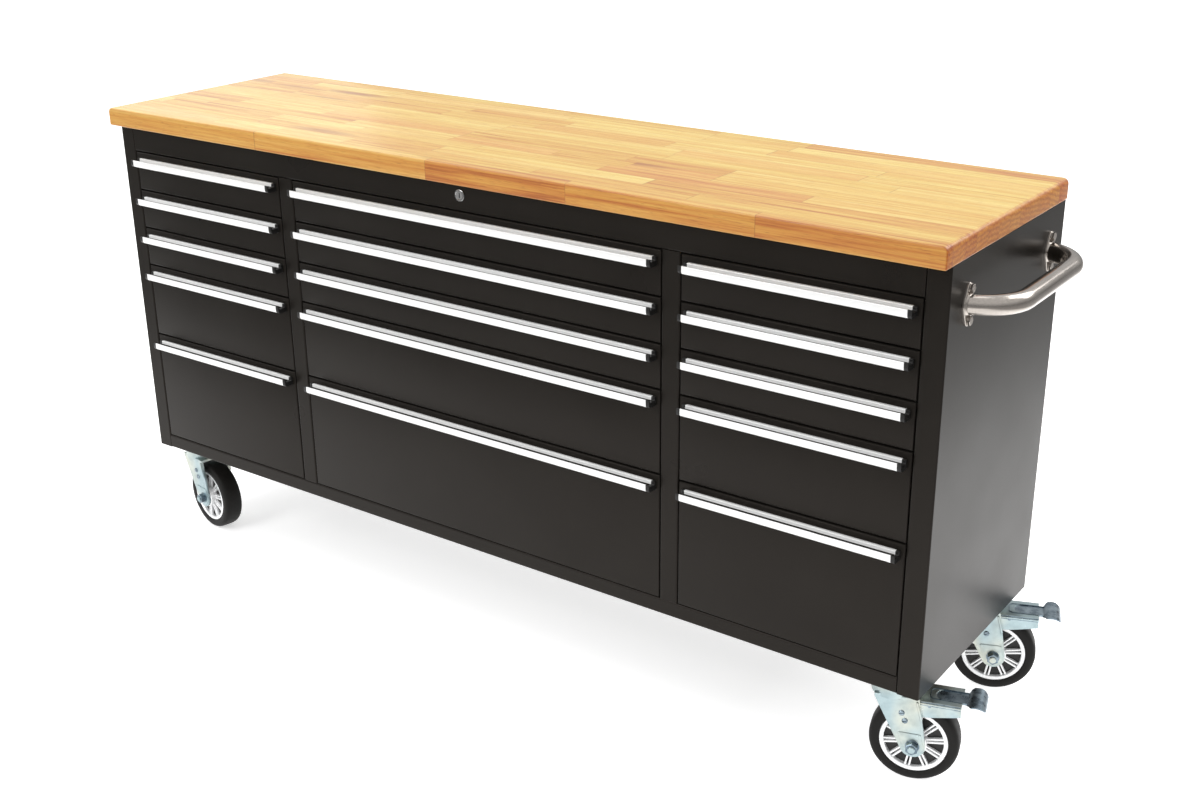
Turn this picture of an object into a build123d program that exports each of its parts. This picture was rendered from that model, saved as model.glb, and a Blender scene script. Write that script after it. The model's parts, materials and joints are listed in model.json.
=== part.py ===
from build123d import *
import math
import os

# Mobile workbench with fifteen drawers, in millimetres.
# Origin: centre of the footprint, on the floor. +X to the handle end, +Y to the back, +Z up.

# Worktop and cabinet
TOP_LENGTH, TOP_DEPTH, TOP_THICK = 1830.0, 485.0, 36.0
CABINET_WIDTH, CABINET_DEPTH, CABINET_HEIGHT = 1827.0, 456.0, 719.0
TOP_FRONT_OVERHANG = 25.3
CASTOR_HEIGHT = 190.0
SHEET = 1.5
FOLD = 2.6
FLANGE, FLANGE_GAP = 30.0, 8.0
RETURN, PAN_LIP = 15.0, 20.0
POST_SETBACKS, POST_DEPTH = (85.0, 335.0), 40.0

# Front layout
STILE = 38.5
DIVIDER = 36.0
SIDE_COLUMN, MIDDLE_COLUMN = 418.0, 842.0
TOP_RAIL, BOTTOM_RAIL = 53.0, 30.0
ROW_PITCHES = (81.0, 81.0, 81.0, 155.0, 238.0)

# Drawers
SIDE_GAP, GAP_ABOVE, GAP_BELOW = 1.5, 2.0, 1.0
FRONT_THICK, FRONT_ROUND = 18.0, 2.0
SLIDE_SPACE = 13.0
TRAY_DEPTH = 385.0
TRAY_RAISE, TRAY_DROP = 8.0, 10.0
SLIDE_LENGTH, SLIDE_HEIGHT, SLIDE_DEPTH = 380.0, 35.0, 10.0
SLIDE_SETBACK, SLIDE_ABOVE_TRAY = 22.0, 4.0
INNER_HEIGHT, INNER_START = 24.0, 4.0
SLIDE_TRAVEL = 300.0

# Pulls
PULL_INSET, CAP_LENGTH = 7.0, 7.0
PULL_REACH, PULL_TOP, PULL_BOTTOM = 22.0, 11.5, 27.0
PULL_BACK, PULL_WALL = 5.0, 2.5
PULL_LIP_DROP, PULL_ROUND = 0.5, 5.0

# Lock and locking bars
LOCK_DROP = 24.0
BARREL_RADIUS, SLEEVE_RADIUS, BEZEL_RADIUS = 7.5, 9.0, 11.0
BARREL_REAR, BEZEL_THICK, BARREL_FACE = 22.0, 2.5, 2.0
BARREL_CLEARANCE = 0.3
CAM_RADIUS, CAM_RIM, CAM_THICK = 7.0711, 4.0, 2.5
CAM_PIN_RADIUS, CAM_PIN_LENGTH = 2.5, 6.5
KEY_WIDTH, KEY_HEIGHT, KEY_DEPTH = 2.0, 9.0, 8.0
LOCK_LIFT = 10.0
LOCK_PLANE, LOCK_SHEET = 412.0, 2.0
PEG_RADIUS, PEG_HEAD_RADIUS, PEG_LENGTH, PEG_HEAD = 3.0, 6.0, 16.5, 2.5
STRIP_HALF, STRIP_START, CROSS_BAR_INSET = 16.0, 40.0, 60.0
ARM_RAISE, ARM_LEFT, ARM_RIGHT = 6.0, 10.0, 20.0

# Side handle
HANDLE_REACH = 80.0
HANDLE_TUBE_RADIUS, HANDLE_TUBE_WALL = 16.0, 1.5
HANDLE_SPACING, HANDLE_DROP = 330.0, 71.5
HANDLE_BEND, HANDLE_TOE_IN = 74.0, 18.0
HANDLE_FLANGE, FLANGE_MIDDLE_RADIUS, FLANGE_END_RADIUS = 5.0, 19.0, 9.0
HANDLE_BOLT_SPACING = 50.0

# Castors
WHEEL_RADIUS, TYRE_WIDTH, RIM_RADIUS, RIM_WIDTH = 75.0, 42.0, 57.0, 38.0
TRAIL = 40.0
CASTOR_INSET_X, CASTOR_INSET_Y = 68.0, 60.0
CASTOR_HEADINGS = {"front_left": -10.0, "rear_left": -10.0, "front_right": 17.0, "rear_right": 21.0}
BRAKED = ("front_right", "rear_right")
PLATE_LENGTH, PLATE_WIDTH, PLATE_THICK, PLATE_CORNER = 100.0, 85.0, 5.0, 8.0
RACE_RADIUS, RACE_HEIGHT = 34.0, 7.0
FORK_RACE_RADIUS, RACE_GAP = 37.0, 0.5
KINGPIN_RADIUS, KINGPIN_CLEARANCE, AXLE_NUT_ACROSS = 6.0, 0.3, 19.0
PLATE_BOLTS_X, PLATE_BOLTS_Y = 80.0, 60.0
BOLT_RADIUS, BOLT_HEAD_ACROSS, BOLT_HEAD, BOLT_NUT = 4.0, 13.0, 5.3, 6.5
BOLT_BEYOND = 10.0
AXLE_RADIUS, AXLE_CLEARANCE, AXLE_END = 6.0, 0.25, 14.0
AXLE_NUT, AXLE_HEAD, KINGPIN_HEAD = 10.0, 7.5, 8.0
LEG_INNER, LEG_THICK, LEG_END = 29.0, 4.0, 21.0
LEG_FRONT, LEG_REAR, CROWN_LOW, CROWN_THICK = -27.0, 46.0, 160.0, 5.0
SHOULDER_WIDTH, SHOULDER_LOW, SHOULDER_HIGH = 10.0, 121.0, 163.0
HUB_RADIUS, SPOKES = 24.0, 10
RIM_EDGE, RIM_STEP, WINDOW_DEPTH = 5.0, 3.0, 13.0

# Brake pedals: distances along the trail from the swivel axis, and heights above the floor
HOOD_END, HOOD_TOP, HOOD_WIDTH, HOOD_SHEET = 113.0, 161.0, 58.0, 2.5
HOOD_START, HOOD_ROOF = 38.0, 3.0
HOOD_SIDE_END, HOOD_SIDE_KNEE, HOOD_SIDE_KNEE_Z, HOOD_SIDE_START_Z = 141.0, 66.0, 132.0, 130.0
SLOT_START, SLOT_RADIUS = 70.0, 17.5
PIVOT_S, PIVOT_Z, PIVOT_RADIUS, PIVOT_CLEARANCE = 62.0, 153.0, 2.5, 0.15
TONGUE_WIDTH = 34.0
PEDAL_STEP, PEDAL_END, PEDAL_WIDTH, PEDAL_CORNER = 121.0, 153.0, 62.0, 14.0

# Places worked out from the sizes above. The pedals of the right castors reach furthest out:
# the front one beyond the right side panel, and the rear one beyond the back panel.


def pedal_reach(name):
    """How far a pedal's foot plate stands from its swivel axis along X and along Y."""
    heading = math.radians(CASTOR_HEADINGS[name])
    along, across = PEDAL_END - PEDAL_CORNER, PEDAL_WIDTH / 2 - PEDAL_CORNER
    return (along * math.cos(heading) + across * math.sin(heading) + PEDAL_CORNER,
            along * math.sin(heading) + across * math.cos(heading) + PEDAL_CORNER)


END_REACH = pedal_reach("front_right")[0] - CASTOR_INSET_X
REAR_REACH = pedal_reach("rear_right")[1] - CASTOR_INSET_Y
MIDDLE_X = -(CABINET_WIDTH / 2 + END_REACH - TOP_LENGTH / 2) / 2
TOP_FRONT_Y = -(TOP_FRONT_OVERHANG + CABINET_DEPTH + REAR_REACH) / 2
LEFT_X = MIDDLE_X - CABINET_WIDTH / 2
RIGHT_X = MIDDLE_X + CABINET_WIDTH / 2
FRONT_Y = TOP_FRONT_Y + TOP_FRONT_OVERHANG
BACK_Y = FRONT_Y + CABINET_DEPTH
BASE_Z = CASTOR_HEIGHT
ROOF_Z = BASE_Z + CABINET_HEIGHT
LOCK_Z = ROOF_Z - LOCK_DROP
HANDLE_Z = ROOF_Z - HANDLE_DROP
HANDLE_Y = (FRONT_Y + BACK_Y) / 2


BEYOND = 1.0  # how far a cutting tool runs past the piece that it cuts


def block(x0, x1, y0, y1, z0, z1):
    """Box between two corners."""
    centre = Pos((x0 + x1) / 2, (y0 + y1) / 2, (z0 + z1) / 2)
    return centre * Box(x1 - x0, y1 - y0, z1 - z0)


def rod(radius, start, end):
    """Round bar from one point to another."""
    axis = Vector(*end) - Vector(*start)
    return extrude(Plane(start, z_dir=axis) * Circle(radius), amount=axis.length)


def hexagon(across, start, end):
    """Hexagonal head or nut from one point to another."""
    axis = Vector(*end) - Vector(*start)
    shape = RegularPolygon(across / 2, 6, major_radius=False)
    return extrude(Plane(start, z_dir=axis) * shape, amount=axis.length)


def folded(plane, points, length):
    """Sheet folded along points, drawn on a plane through the middle of the sheet."""
    section = plane * trace(FilletPolyline(*points, radius=FOLD), SHEET)
    return extrude(section, amount=length, dir=plane.z_dir)


def save(node, *solids):
    """Writes one node; a node of several pieces holds them as separate solids."""
    shape = solids[0] if len(solids) == 1 else Compound(children=list(solids))
    shape.label = node
    export_step(shape, f"parts/{node}.step")


def columns():
    """Name, left edge and right edge of each drawer column's opening."""
    left = LEFT_X + STILE
    middle = left + SIDE_COLUMN + DIVIDER
    right = middle + MIDDLE_COLUMN + DIVIDER
    return (("left", left, left + SIDE_COLUMN), ("centre", middle, middle + MIDDLE_COLUMN),
            ("right", right, right + SIDE_COLUMN))


def rows():
    """Number, bottom and top of each drawer's front, from the top row down."""
    top = ROOF_Z - TOP_RAIL
    found = []
    for number, pitch in enumerate(ROW_PITCHES, 1):
        found.append((number, top - pitch + GAP_BELOW, top - GAP_ABOVE))
        top -= pitch
    return found


def slide_height(front_bottom):
    """Centre height of the slides of a drawer."""
    return front_bottom + TRAY_RAISE + SLIDE_HEIGHT / 2 + SLIDE_ABOVE_TRAY


def peg_height(front_bottom, front_top):
    """Height of the locking peg on a drawer's rear wall."""
    return (front_bottom + front_top) / 2


# Worktop: one slab with eased edges, on ten screws driven up through the cabinet's top flanges

SCREW_RADIUS, SCREW_DEPTH, SCREW_HEAD_RADIUS, SCREW_HEAD = 3.0, 22.0, 6.0, 3.5
SCREW_FIRST, SCREW_STEP, SCREW_INSET = 0.08, 0.21, 20.0
SCREWS_ALONG = 5
TOP_EASE = 3.0


def screw_places():
    """Places of the worktop's screws: five along the front flange and five along the rear one."""
    steps = [LEFT_X + CABINET_WIDTH * (SCREW_FIRST + SCREW_STEP * step) for step in range(SCREWS_ALONG)]
    return [(x, y) for x in steps for y in (FRONT_Y + SCREW_INSET, BACK_Y - SCREW_INSET)]


def make_worktop():
    half = TOP_LENGTH / 2
    slab = block(MIDDLE_X - half, MIDDLE_X + half, TOP_FRONT_Y, TOP_FRONT_Y + TOP_DEPTH,
                 ROOF_Z, ROOF_Z + TOP_THICK)
    slab = fillet(slab.edges(), TOP_EASE)
    for x, y in screw_places():
        slab -= rod(SCREW_RADIUS, (x, y, ROOF_Z - BEYOND), (x, y, ROOF_Z + SCREW_DEPTH))
    save("worktop", slab)
    screws = []
    for x, y in screw_places():
        under = ROOF_Z - SHEET
        head = rod(SCREW_HEAD_RADIUS, (x, y, under - SCREW_HEAD), (x, y, under))
        screws.append(head + rod(SCREW_RADIUS, (x, y, under), (x, y, ROOF_Z + SCREW_DEPTH)))
    save("worktop_screws", *screws)


# Cabinet shell: folded sheet steel

SEAM = 0.02
DIVIDER_CLEARANCE, NOTCH = 10.0, 12.0


def screw_holes(shape):
    for x, y in screw_places():
        shape -= rod(SCREW_RADIUS, (x, y, ROOF_Z - SHEET - BEYOND), (x, y, ROOF_Z + BEYOND))
    return shape


def handle_bolt_places():
    """Y and Z of the side handle's four bolts."""
    ys = (HANDLE_Y - HANDLE_SPACING / 2, HANDLE_Y + HANDLE_SPACING / 2)
    zs = (HANDLE_Z - HANDLE_BOLT_SPACING / 2, HANDLE_Z + HANDLE_BOLT_SPACING / 2)
    return [(y, z) for y in ys for z in zs]


def make_side_panel(side):
    """Wall with a folded front stile and a top flange; side is -1 for left and 1 for right."""
    half = SHEET / 2
    wall = LEFT_X + half if side < 0 else RIGHT_X - half
    inward = -side
    floor = Plane.XY.offset(BASE_Z)
    lip = wall + inward * (STILE - SHEET)
    stile = ((wall, BACK_Y), (wall, FRONT_Y + half), (lip, FRONT_Y + half), (lip, FRONT_Y + RETURN))
    panel = folded(floor, stile, CABINET_HEIGHT)
    roof = ROOF_Z - SHEET
    edge = wall + inward * half
    flange = (min(edge, edge + inward * FLANGE), max(edge, edge + inward * FLANGE))
    panel += block(*flange, FRONT_Y + FLANGE + FLANGE_GAP, BACK_Y - FLANGE - FLANGE_GAP, roof, ROOF_Z)
    if side > 0:
        for y, z in handle_bolt_places():
            panel -= rod(BOLT_RADIUS, (RIGHT_X - SHEET - BEYOND, y, z), (RIGHT_X + BEYOND, y, z))
    save("right_side_panel" if side > 0 else "left_side_panel", panel)


def make_back_panel():
    """Rear wall between the side panels, with a top flange for the worktop's screws."""
    half = SHEET / 2
    profile = ((BACK_Y - FLANGE, ROOF_Z - half), (BACK_Y - half, ROOF_Z - half), (BACK_Y - half, BASE_Z))
    start = Plane.YZ.offset(LEFT_X + SHEET)
    panel = folded(start, profile, CABINET_WIDTH - 2 * SHEET)
    save("back_panel", screw_holes(panel))


def make_bottom_pan():
    """Floor with the bottom rail folded up at the front and a lip up at the back and sides."""
    half = SHEET / 2
    rear = BACK_Y - SHEET - half
    rail_top = BASE_Z + BOTTOM_RAIL - half
    profile = ((FRONT_Y + RETURN, rail_top), (FRONT_Y + half, rail_top), (FRONT_Y + half, BASE_Z + half),
               (rear, BASE_Z + half), (rear, BASE_Z + PAN_LIP))
    x0, x1 = LEFT_X + SHEET, RIGHT_X - SHEET
    pan = folded(Plane.YZ.offset(x0), profile, x1 - x0)
    front, deep = FRONT_Y - BEYOND, FRONT_Y + RETURN + BEYOND
    corner = STILE + SEAM
    for a, b in ((LEFT_X, LEFT_X + corner), (RIGHT_X - corner, RIGHT_X)):
        pan -= block(a, b, front, deep, BASE_Z - BEYOND, BASE_Z + BOTTOM_RAIL + BEYOND)
    for a in (x0, x1 - SHEET):
        pan += block(a, a + SHEET, deep, BACK_Y - 2 * SHEET, BASE_Z + half, BASE_Z + PAN_LIP)
    for x, y in castor_bolt_places():
        pan -= rod(BOLT_RADIUS, (x, y, BASE_Z - BEYOND), (x, y, BASE_Z + SHEET + BEYOND))
    save("bottom_pan", pan)


def make_top_rail():
    """Channel across the front between the stiles, with the lock's hole at its middle."""
    half = SHEET / 2
    low = ROOF_Z - TOP_RAIL + half
    profile = ((FRONT_Y + RETURN, low), (FRONT_Y + half, low), (FRONT_Y + half, ROOF_Z - half),
               (FRONT_Y + FLANGE, ROOF_Z - half))
    rail = folded(Plane.YZ.offset(LEFT_X + STILE), profile, CABINET_WIDTH - 2 * STILE)
    hole = (MIDDLE_X, FRONT_Y - BEYOND, LOCK_Z), (MIDDLE_X, FRONT_Y + SHEET + BEYOND, LOCK_Z)
    rail -= rod(SLEEVE_RADIUS, *hole)
    save("top_rail", screw_holes(rail))


def make_column_dividers():
    """Two U-shaped partitions between the columns, open at the back."""
    half = SHEET / 2
    rear = FRONT_Y + LOCK_PLANE - DIVIDER_CLEARANCE
    dividers = []
    for x0, x1 in ((columns()[0][2], columns()[1][1]), (columns()[1][2], columns()[2][1])):
        front = FRONT_Y + half
        profile = ((x0 + half, rear), (x0 + half, front), (x1 - half, front), (x1 - half, rear))
        low, high = BASE_Z + SHEET, ROOF_Z - SHEET
        divider = folded(Plane.XY.offset(low), profile, high - low)
        a, b, front, deep = x0 - BEYOND, x1 + BEYOND, FRONT_Y - BEYOND, FRONT_Y + RETURN
        divider -= block(a, b, front, deep, low - BEYOND, BASE_Z + BOTTOM_RAIL)
        divider -= block(a, b, front, deep, ROOF_Z - TOP_RAIL, high + BEYOND)
        divider -= block(a, b, deep - BEYOND, FRONT_Y + FLANGE, ROOF_Z - NOTCH, high + BEYOND)
        dividers.append(divider)
    save("column_dividers", *dividers)


def make_slide_posts():
    """Four upright channels that bring the outer slides level with the end columns' openings."""
    half = SHEET / 2
    low, high = BASE_Z + PAN_LIP + BEYOND, ROOF_Z - TOP_RAIL
    posts = []
    for wall, inward in ((LEFT_X + SHEET, 1), (RIGHT_X - SHEET, -1)):
        face = wall + inward * (STILE - SHEET - half)
        for setback in POST_SETBACKS:
            near, far = FRONT_Y + setback, FRONT_Y + setback + POST_DEPTH
            profile = ((wall, near), (face, near), (face, far), (wall, far))
            posts.append(folded(Plane.XY.offset(low), profile, high - low))
    save("slide_posts", *posts)


# Ball-bearing slides: a channel on the cabinet and a channel on the drawer, one inside the other

def slide_member(edge, inward, centre, height, web, lips):
    """Channel from its web to its lips, both measured inward from an opening's edge."""
    y0, y1 = FRONT_Y + SLIDE_SETBACK, FRONT_Y + SLIDE_SETBACK + SLIDE_LENGTH
    xs = sorted((edge + inward * web, edge + inward * lips))
    body = block(*xs, y0, y1, centre - height / 2, centre + height / 2)
    open_way = 1 if lips > web else -1
    hollow = sorted((edge + inward * (web + open_way * SHEET), edge + inward * (lips + open_way * BEYOND)))
    inner = height / 2 - SHEET
    return body - block(*hollow, y0 - BEYOND, y1 + BEYOND, centre - inner, centre + inner)


def make_slide_rails():
    rails = []
    for _, x0, x1 in columns():
        for _, bottom, _ in rows():
            for edge, inward in ((x0, 1), (x1, -1)):
                centre = slide_height(bottom)
                rails.append(slide_member(edge, inward, centre, SLIDE_HEIGHT, 0, SLIDE_DEPTH))
    save("slide_rails", *rails)


# Drawers: folded front pan, tray with its locking peg, and the moving slide members

def make_drawer(name, number, x0, x1, bottom, top):
    left, right = x0 + SIDE_GAP, x1 - SIDE_GAP
    pan = block(left, right, FRONT_Y, FRONT_Y + FRONT_THICK, bottom, top)
    pan = fillet(pan.faces().sort_by(Axis.Y)[0].edges(), FRONT_ROUND)
    pan -= block(left + SHEET, right - SHEET, FRONT_Y + SHEET, FRONT_Y + FRONT_THICK + BEYOND,
                 bottom + SHEET, top - SHEET)
    x2, x3 = x0 + SLIDE_SPACE, x1 - SLIDE_SPACE
    y0 = FRONT_Y + FRONT_THICK
    y1 = y0 + TRAY_DEPTH
    z0, z1 = bottom + TRAY_RAISE, top - TRAY_DROP
    tray = block(x2, x3, y0, y1, z0, z1)
    tray -= block(x2 + SHEET, x3 - SHEET, y0 + SHEET, y1 - SHEET, z0 + SHEET, z1 + BEYOND)
    middle, height = (x0 + x1) / 2, peg_height(bottom, top)
    peg_end = y1 + PEG_LENGTH
    tray += rod(PEG_RADIUS, (middle, y1 - SHEET / 2, height), (middle, peg_end, height))
    tray += rod(PEG_HEAD_RADIUS, (middle, peg_end - PEG_HEAD, height), (middle, peg_end, height))
    members = [slide_member(edge, inward, slide_height(bottom), INNER_HEIGHT, SLIDE_SPACE, INNER_START)
               for edge, inward in ((x0, 1), (x1, -1))]
    save(f"drawer_{name}_{number}", pan, tray, *members)


def pull_section(top, hollow):
    """Section of a pull across its length, standing out of a drawer's front at y = FRONT_Y."""
    lip, low, high = FRONT_Y - PULL_REACH, top - PULL_BOTTOM, top - PULL_TOP
    lip_top = high - PULL_LIP_DROP
    outside = [(FRONT_Y, high), (FRONT_Y, low), (lip, low), (lip, lip_top)]
    inside = [(lip + PULL_WALL, high)]
    if hollow:
        inside = [(lip + PULL_WALL, lip_top), (lip + PULL_WALL, low + PULL_WALL),
                  (FRONT_Y - PULL_BACK, low + PULL_WALL), (FRONT_Y - PULL_BACK, high)]
    section = make_face(Polyline(*outside, *inside, close=True))
    corner = section.vertices().sort_by_distance((lip, low, 0))[0]
    return fillet(corner, PULL_ROUND)


def make_pull(name, number, x0, x1, top):
    """Aluminium extrusion with an upward finger channel, between two end caps."""
    left, right = x0 + SIDE_GAP + PULL_INSET, x1 - SIDE_GAP - PULL_INSET
    bar = extrude(Plane.YZ.offset(left + CAP_LENGTH) * pull_section(top, True),
                  amount=right - left - 2 * CAP_LENGTH, dir=(1, 0, 0))
    caps = [extrude(Plane.YZ.offset(x) * pull_section(top, False), amount=CAP_LENGTH, dir=(1, 0, 0))
            for x in (left, right - CAP_LENGTH)]
    save(f"pull_{name}_{number}", bar, *caps)


def make_drawers():
    for name, x0, x1 in columns():
        for number, bottom, top in rows():
            make_drawer(name, number, x0, x1, bottom, top)
            make_pull(name, number, x0, x1, top)


# Lock: sleeve in the top rail, turning barrel with a cam, and the bars that it lifts

KEYHOLE_GAP, NECK_GAP = 2.0, 0.8
CAM_GAP, CAM_PLATE_DROP = 2.0, 8.0
CAM_SLOT_GAP, CAM_SLOT_END = 0.6, 13.0
CROSS_BAR_DROP = 14.0


def make_lock():
    x, y, z = MIDDLE_X, FRONT_Y, LOCK_Z
    sleeve_end = (x, y + BARREL_REAR - SHEET, z)
    housing = rod(BEZEL_RADIUS, (x, y - BEZEL_THICK, z), (x, y, z))
    housing += rod(SLEEVE_RADIUS, (x, y, z), sleeve_end)
    bore = (x, y - BEZEL_THICK - BEYOND, z), (x, y + BARREL_REAR, z)
    housing -= rod(BARREL_RADIUS + BARREL_CLEARANCE, *bore)
    save("lock_housing", housing)
    face, rear = y - BARREL_FACE, y + BARREL_REAR
    barrel = rod(BARREL_RADIUS, (x, face, z), (x, rear, z))
    barrel -= block(x - KEY_WIDTH / 2, x + KEY_WIDTH / 2, face - BEYOND, face + KEY_DEPTH,
                    z - KEY_HEIGHT / 2, z + KEY_HEIGHT / 2)
    offset = CAM_RADIUS * math.cos(math.radians(45))
    disc = rod(CAM_RADIUS + CAM_RIM, (x, rear, z), (x, rear + CAM_THICK, z))
    pin_start = (x + offset, rear + SHEET, z - offset)
    pin_end = (x + offset, rear + CAM_THICK + CAM_PIN_LENGTH, z - offset)
    save("lock_barrel", barrel + disc + rod(CAM_PIN_RADIUS, pin_start, pin_end))


def keyhole(middle, height, y0, y1):
    """Round hole that passes a peg's head, with a slot below it that holds the peg's neck."""
    hole = rod(PEG_HEAD_RADIUS + KEYHOLE_GAP, (middle, y0, height), (middle, y1, height))
    neck = PEG_RADIUS + NECK_GAP
    low = height - LOCK_LIFT - PEG_RADIUS - BEYOND
    return hole + block(middle - neck, middle + neck, y0, y1, low, height)


def make_lock_bars():
    """Slotted plate at the cam, arm to the rear, cross bar, and one keyholed strip for each column."""
    cam_y = FRONT_Y + BARREL_REAR + CAM_THICK + CAM_GAP
    offset = CAM_RADIUS * math.cos(math.radians(45))
    x, z = MIDDLE_X, LOCK_Z - offset
    arm_low = LOCK_Z + ARM_RAISE
    arm_top = arm_low + LOCK_SHEET
    y0 = FRONT_Y + LOCK_PLANE
    y1 = y0 + LOCK_SHEET
    bars = block(x - ARM_LEFT, x + ARM_RIGHT, cam_y, cam_y + LOCK_SHEET, z - CAM_PLATE_DROP, arm_top)
    pin_gap = CAM_PIN_RADIUS + CAM_SLOT_GAP
    bars -= block(x - BEYOND, x + CAM_SLOT_END, cam_y - BEYOND, cam_y + LOCK_SHEET + BEYOND,
                  z - pin_gap, z + pin_gap)
    bars += block(x - ARM_LEFT, x + ARM_RIGHT, cam_y, y1, arm_low, arm_top)
    bars += block(columns()[0][1] + CROSS_BAR_INSET, columns()[2][2] - CROSS_BAR_INSET, y0, y1,
                  LOCK_Z - CROSS_BAR_DROP, arm_top)
    for _, x0, x1 in columns():
        middle = (x0 + x1) / 2
        bars += block(middle - STRIP_HALF, middle + STRIP_HALF, y0, y1, BASE_Z + STRIP_START, LOCK_Z)
        for _, bottom, top in rows():
            bars -= keyhole(middle, peg_height(bottom, top), y0 - BEYOND, y1 + BEYOND)
    save("lock_bars", bars)


# Side handle: bent tube welded to two flanges

def make_side_handle():
    half = HANDLE_SPACING / 2
    straight = HANDLE_REACH - HANDLE_TUBE_RADIUS
    toe = math.tan(math.radians(HANDLE_TOE_IN)) * straight
    x0, x1 = RIGHT_X + HANDLE_FLANGE - BEYOND, RIGHT_X + straight
    front, rear = HANDLE_Y - half, HANDLE_Y + half
    path = FilletPolyline((x0, front, HANDLE_Z), (x1, front + toe, HANDLE_Z),
                          (x1, rear - toe, HANDLE_Z), (x0, rear, HANDLE_Z), radius=HANDLE_BEND)
    start = Plane(path @ 0, z_dir=path % 0)
    ring = Circle(HANDLE_TUBE_RADIUS) - Circle(HANDLE_TUBE_RADIUS - HANDLE_TUBE_WALL)
    tube = sweep(start * ring, path=path)
    around = 2 * HANDLE_TUBE_RADIUS
    tube -= block(RIGHT_X - around, RIGHT_X + HANDLE_FLANGE, front - around, rear + around,
                  HANDLE_Z - around, HANDLE_Z + around)
    flanges = []
    for y in (front, rear):
        middle = Pos(y, HANDLE_Z) * Circle(FLANGE_MIDDLE_RADIUS)
        ends = [Pos(y, HANDLE_Z + side * HANDLE_BOLT_SPACING / 2) * Circle(FLANGE_END_RADIUS)
                for side in (-1, 1)]
        outline = make_hull(middle.edges() + ends[0].edges() + ends[1].edges())
        flange = extrude(Plane.YZ.offset(RIGHT_X) * outline, amount=HANDLE_FLANGE, dir=(1, 0, 0))
        for side in (-1, 1):
            z = HANDLE_Z + side * HANDLE_BOLT_SPACING / 2
            flange -= rod(BOLT_RADIUS, (RIGHT_X - BEYOND, y, z), (RIGHT_X + HANDLE_FLANGE + BEYOND, y, z))
        flanges.append(flange)
    save("side_handle", tube, *flanges)


# Castors: fixed plate and race, swivelling fork, wheel on its axle, and a brake pedal on two of them

def castor_places():
    """Name, X and Y of each swivel axis."""
    xs = {"left": LEFT_X + CASTOR_INSET_X, "right": RIGHT_X - CASTOR_INSET_X}
    ys = {"front": FRONT_Y + CASTOR_INSET_Y, "rear": BACK_Y - CASTOR_INSET_Y}
    return [(f"{end}_{side}", xs[side], ys[end]) for side in xs for end in ys]


def castor_bolt_places():
    return [(x + dx * PLATE_BOLTS_X / 2, y + dy * PLATE_BOLTS_Y / 2)
            for _, x, y in castor_places() for dx in (-1, 1) for dy in (-1, 1)]


def make_hex_bolts():
    """Bolts and nuts of the castor plates and of the side handle."""
    solids = []
    for x, y in castor_bolt_places():
        under = BASE_Z - PLATE_THICK
        bolt = hexagon(BOLT_HEAD_ACROSS, (x, y, under - BOLT_HEAD), (x, y, under))
        solids.append(bolt + rod(BOLT_RADIUS, (x, y, under), (x, y, BASE_Z + BOLT_BEYOND)))
        nut = hexagon(BOLT_HEAD_ACROSS, (x, y, BASE_Z + SHEET), (x, y, BASE_Z + SHEET + BOLT_NUT))
        solids.append(nut - rod(BOLT_RADIUS, (x, y, BASE_Z), (x, y, BASE_Z + BOLT_BEYOND)))
    for y, z in handle_bolt_places():
        face, inside = RIGHT_X + HANDLE_FLANGE, RIGHT_X - SHEET
        bolt = hexagon(BOLT_HEAD_ACROSS, (face, y, z), (face + BOLT_HEAD, y, z))
        solids.append(bolt + rod(BOLT_RADIUS, (inside - BOLT_BEYOND, y, z), (face, y, z)))
        nut = hexagon(BOLT_HEAD_ACROSS, (inside - BOLT_NUT, y, z), (inside, y, z))
        solids.append(nut - rod(BOLT_RADIUS, (inside - BOLT_BEYOND, y, z), (inside + BEYOND, y, z)))
    save("hex_bolts", *solids)


def make_castor_plates():
    plates = []
    under = BASE_Z - PLATE_THICK
    for _, x, y in castor_places():
        plate = block(x - PLATE_LENGTH / 2, x + PLATE_LENGTH / 2, y - PLATE_WIDTH / 2, y + PLATE_WIDTH / 2,
                      under, BASE_Z)
        plate = fillet(plate.edges().filter_by(Axis.Z), PLATE_CORNER)
        plate += rod(RACE_RADIUS, (x, y, under - RACE_HEIGHT), (x, y, under))
        for dx in (-PLATE_BOLTS_X / 2, PLATE_BOLTS_X / 2):
            for dy in (-PLATE_BOLTS_Y / 2, PLATE_BOLTS_Y / 2):
                hole = (x + dx, y + dy)
                plate -= rod(BOLT_RADIUS, (*hole, under - BEYOND), (*hole, BASE_Z + BEYOND))
        bore = (x, y, under - RACE_HEIGHT - BEYOND), (x, y, BASE_Z - SHEET)
        plate -= rod(KINGPIN_RADIUS + KINGPIN_CLEARANCE, *bore)
        plates.append(plate)
    save("castor_plates", *plates)


def upright(outline, y, thick):
    """Plate cut to an outline drawn with X across and Z up, standing at y and thick towards +Y."""
    plane = Plane((0, y, 0), x_dir=(1, 0, 0), z_dir=(0, -1, 0))
    return extrude(plane * outline, amount=thick, dir=(0, 1, 0))


def leg_outline():
    """Fork leg: straight edges from the crown to a round end about the axle."""
    crown_middle = Pos((LEG_FRONT + LEG_REAR) / 2, CROWN_LOW + CROWN_THICK / 2)
    crown = crown_middle * Rectangle(LEG_REAR - LEG_FRONT, CROWN_THICK)
    shoulder_middle = Pos(LEG_REAR - SHOULDER_WIDTH / 2, (SHOULDER_LOW + SHOULDER_HIGH) / 2)
    shoulder = shoulder_middle * Rectangle(SHOULDER_WIDTH, SHOULDER_HIGH - SHOULDER_LOW)
    end = Pos(TRAIL, WHEEL_RADIUS) * Circle(LEG_END)
    return make_hull(crown.edges() + shoulder.edges() + end.edges())


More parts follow.
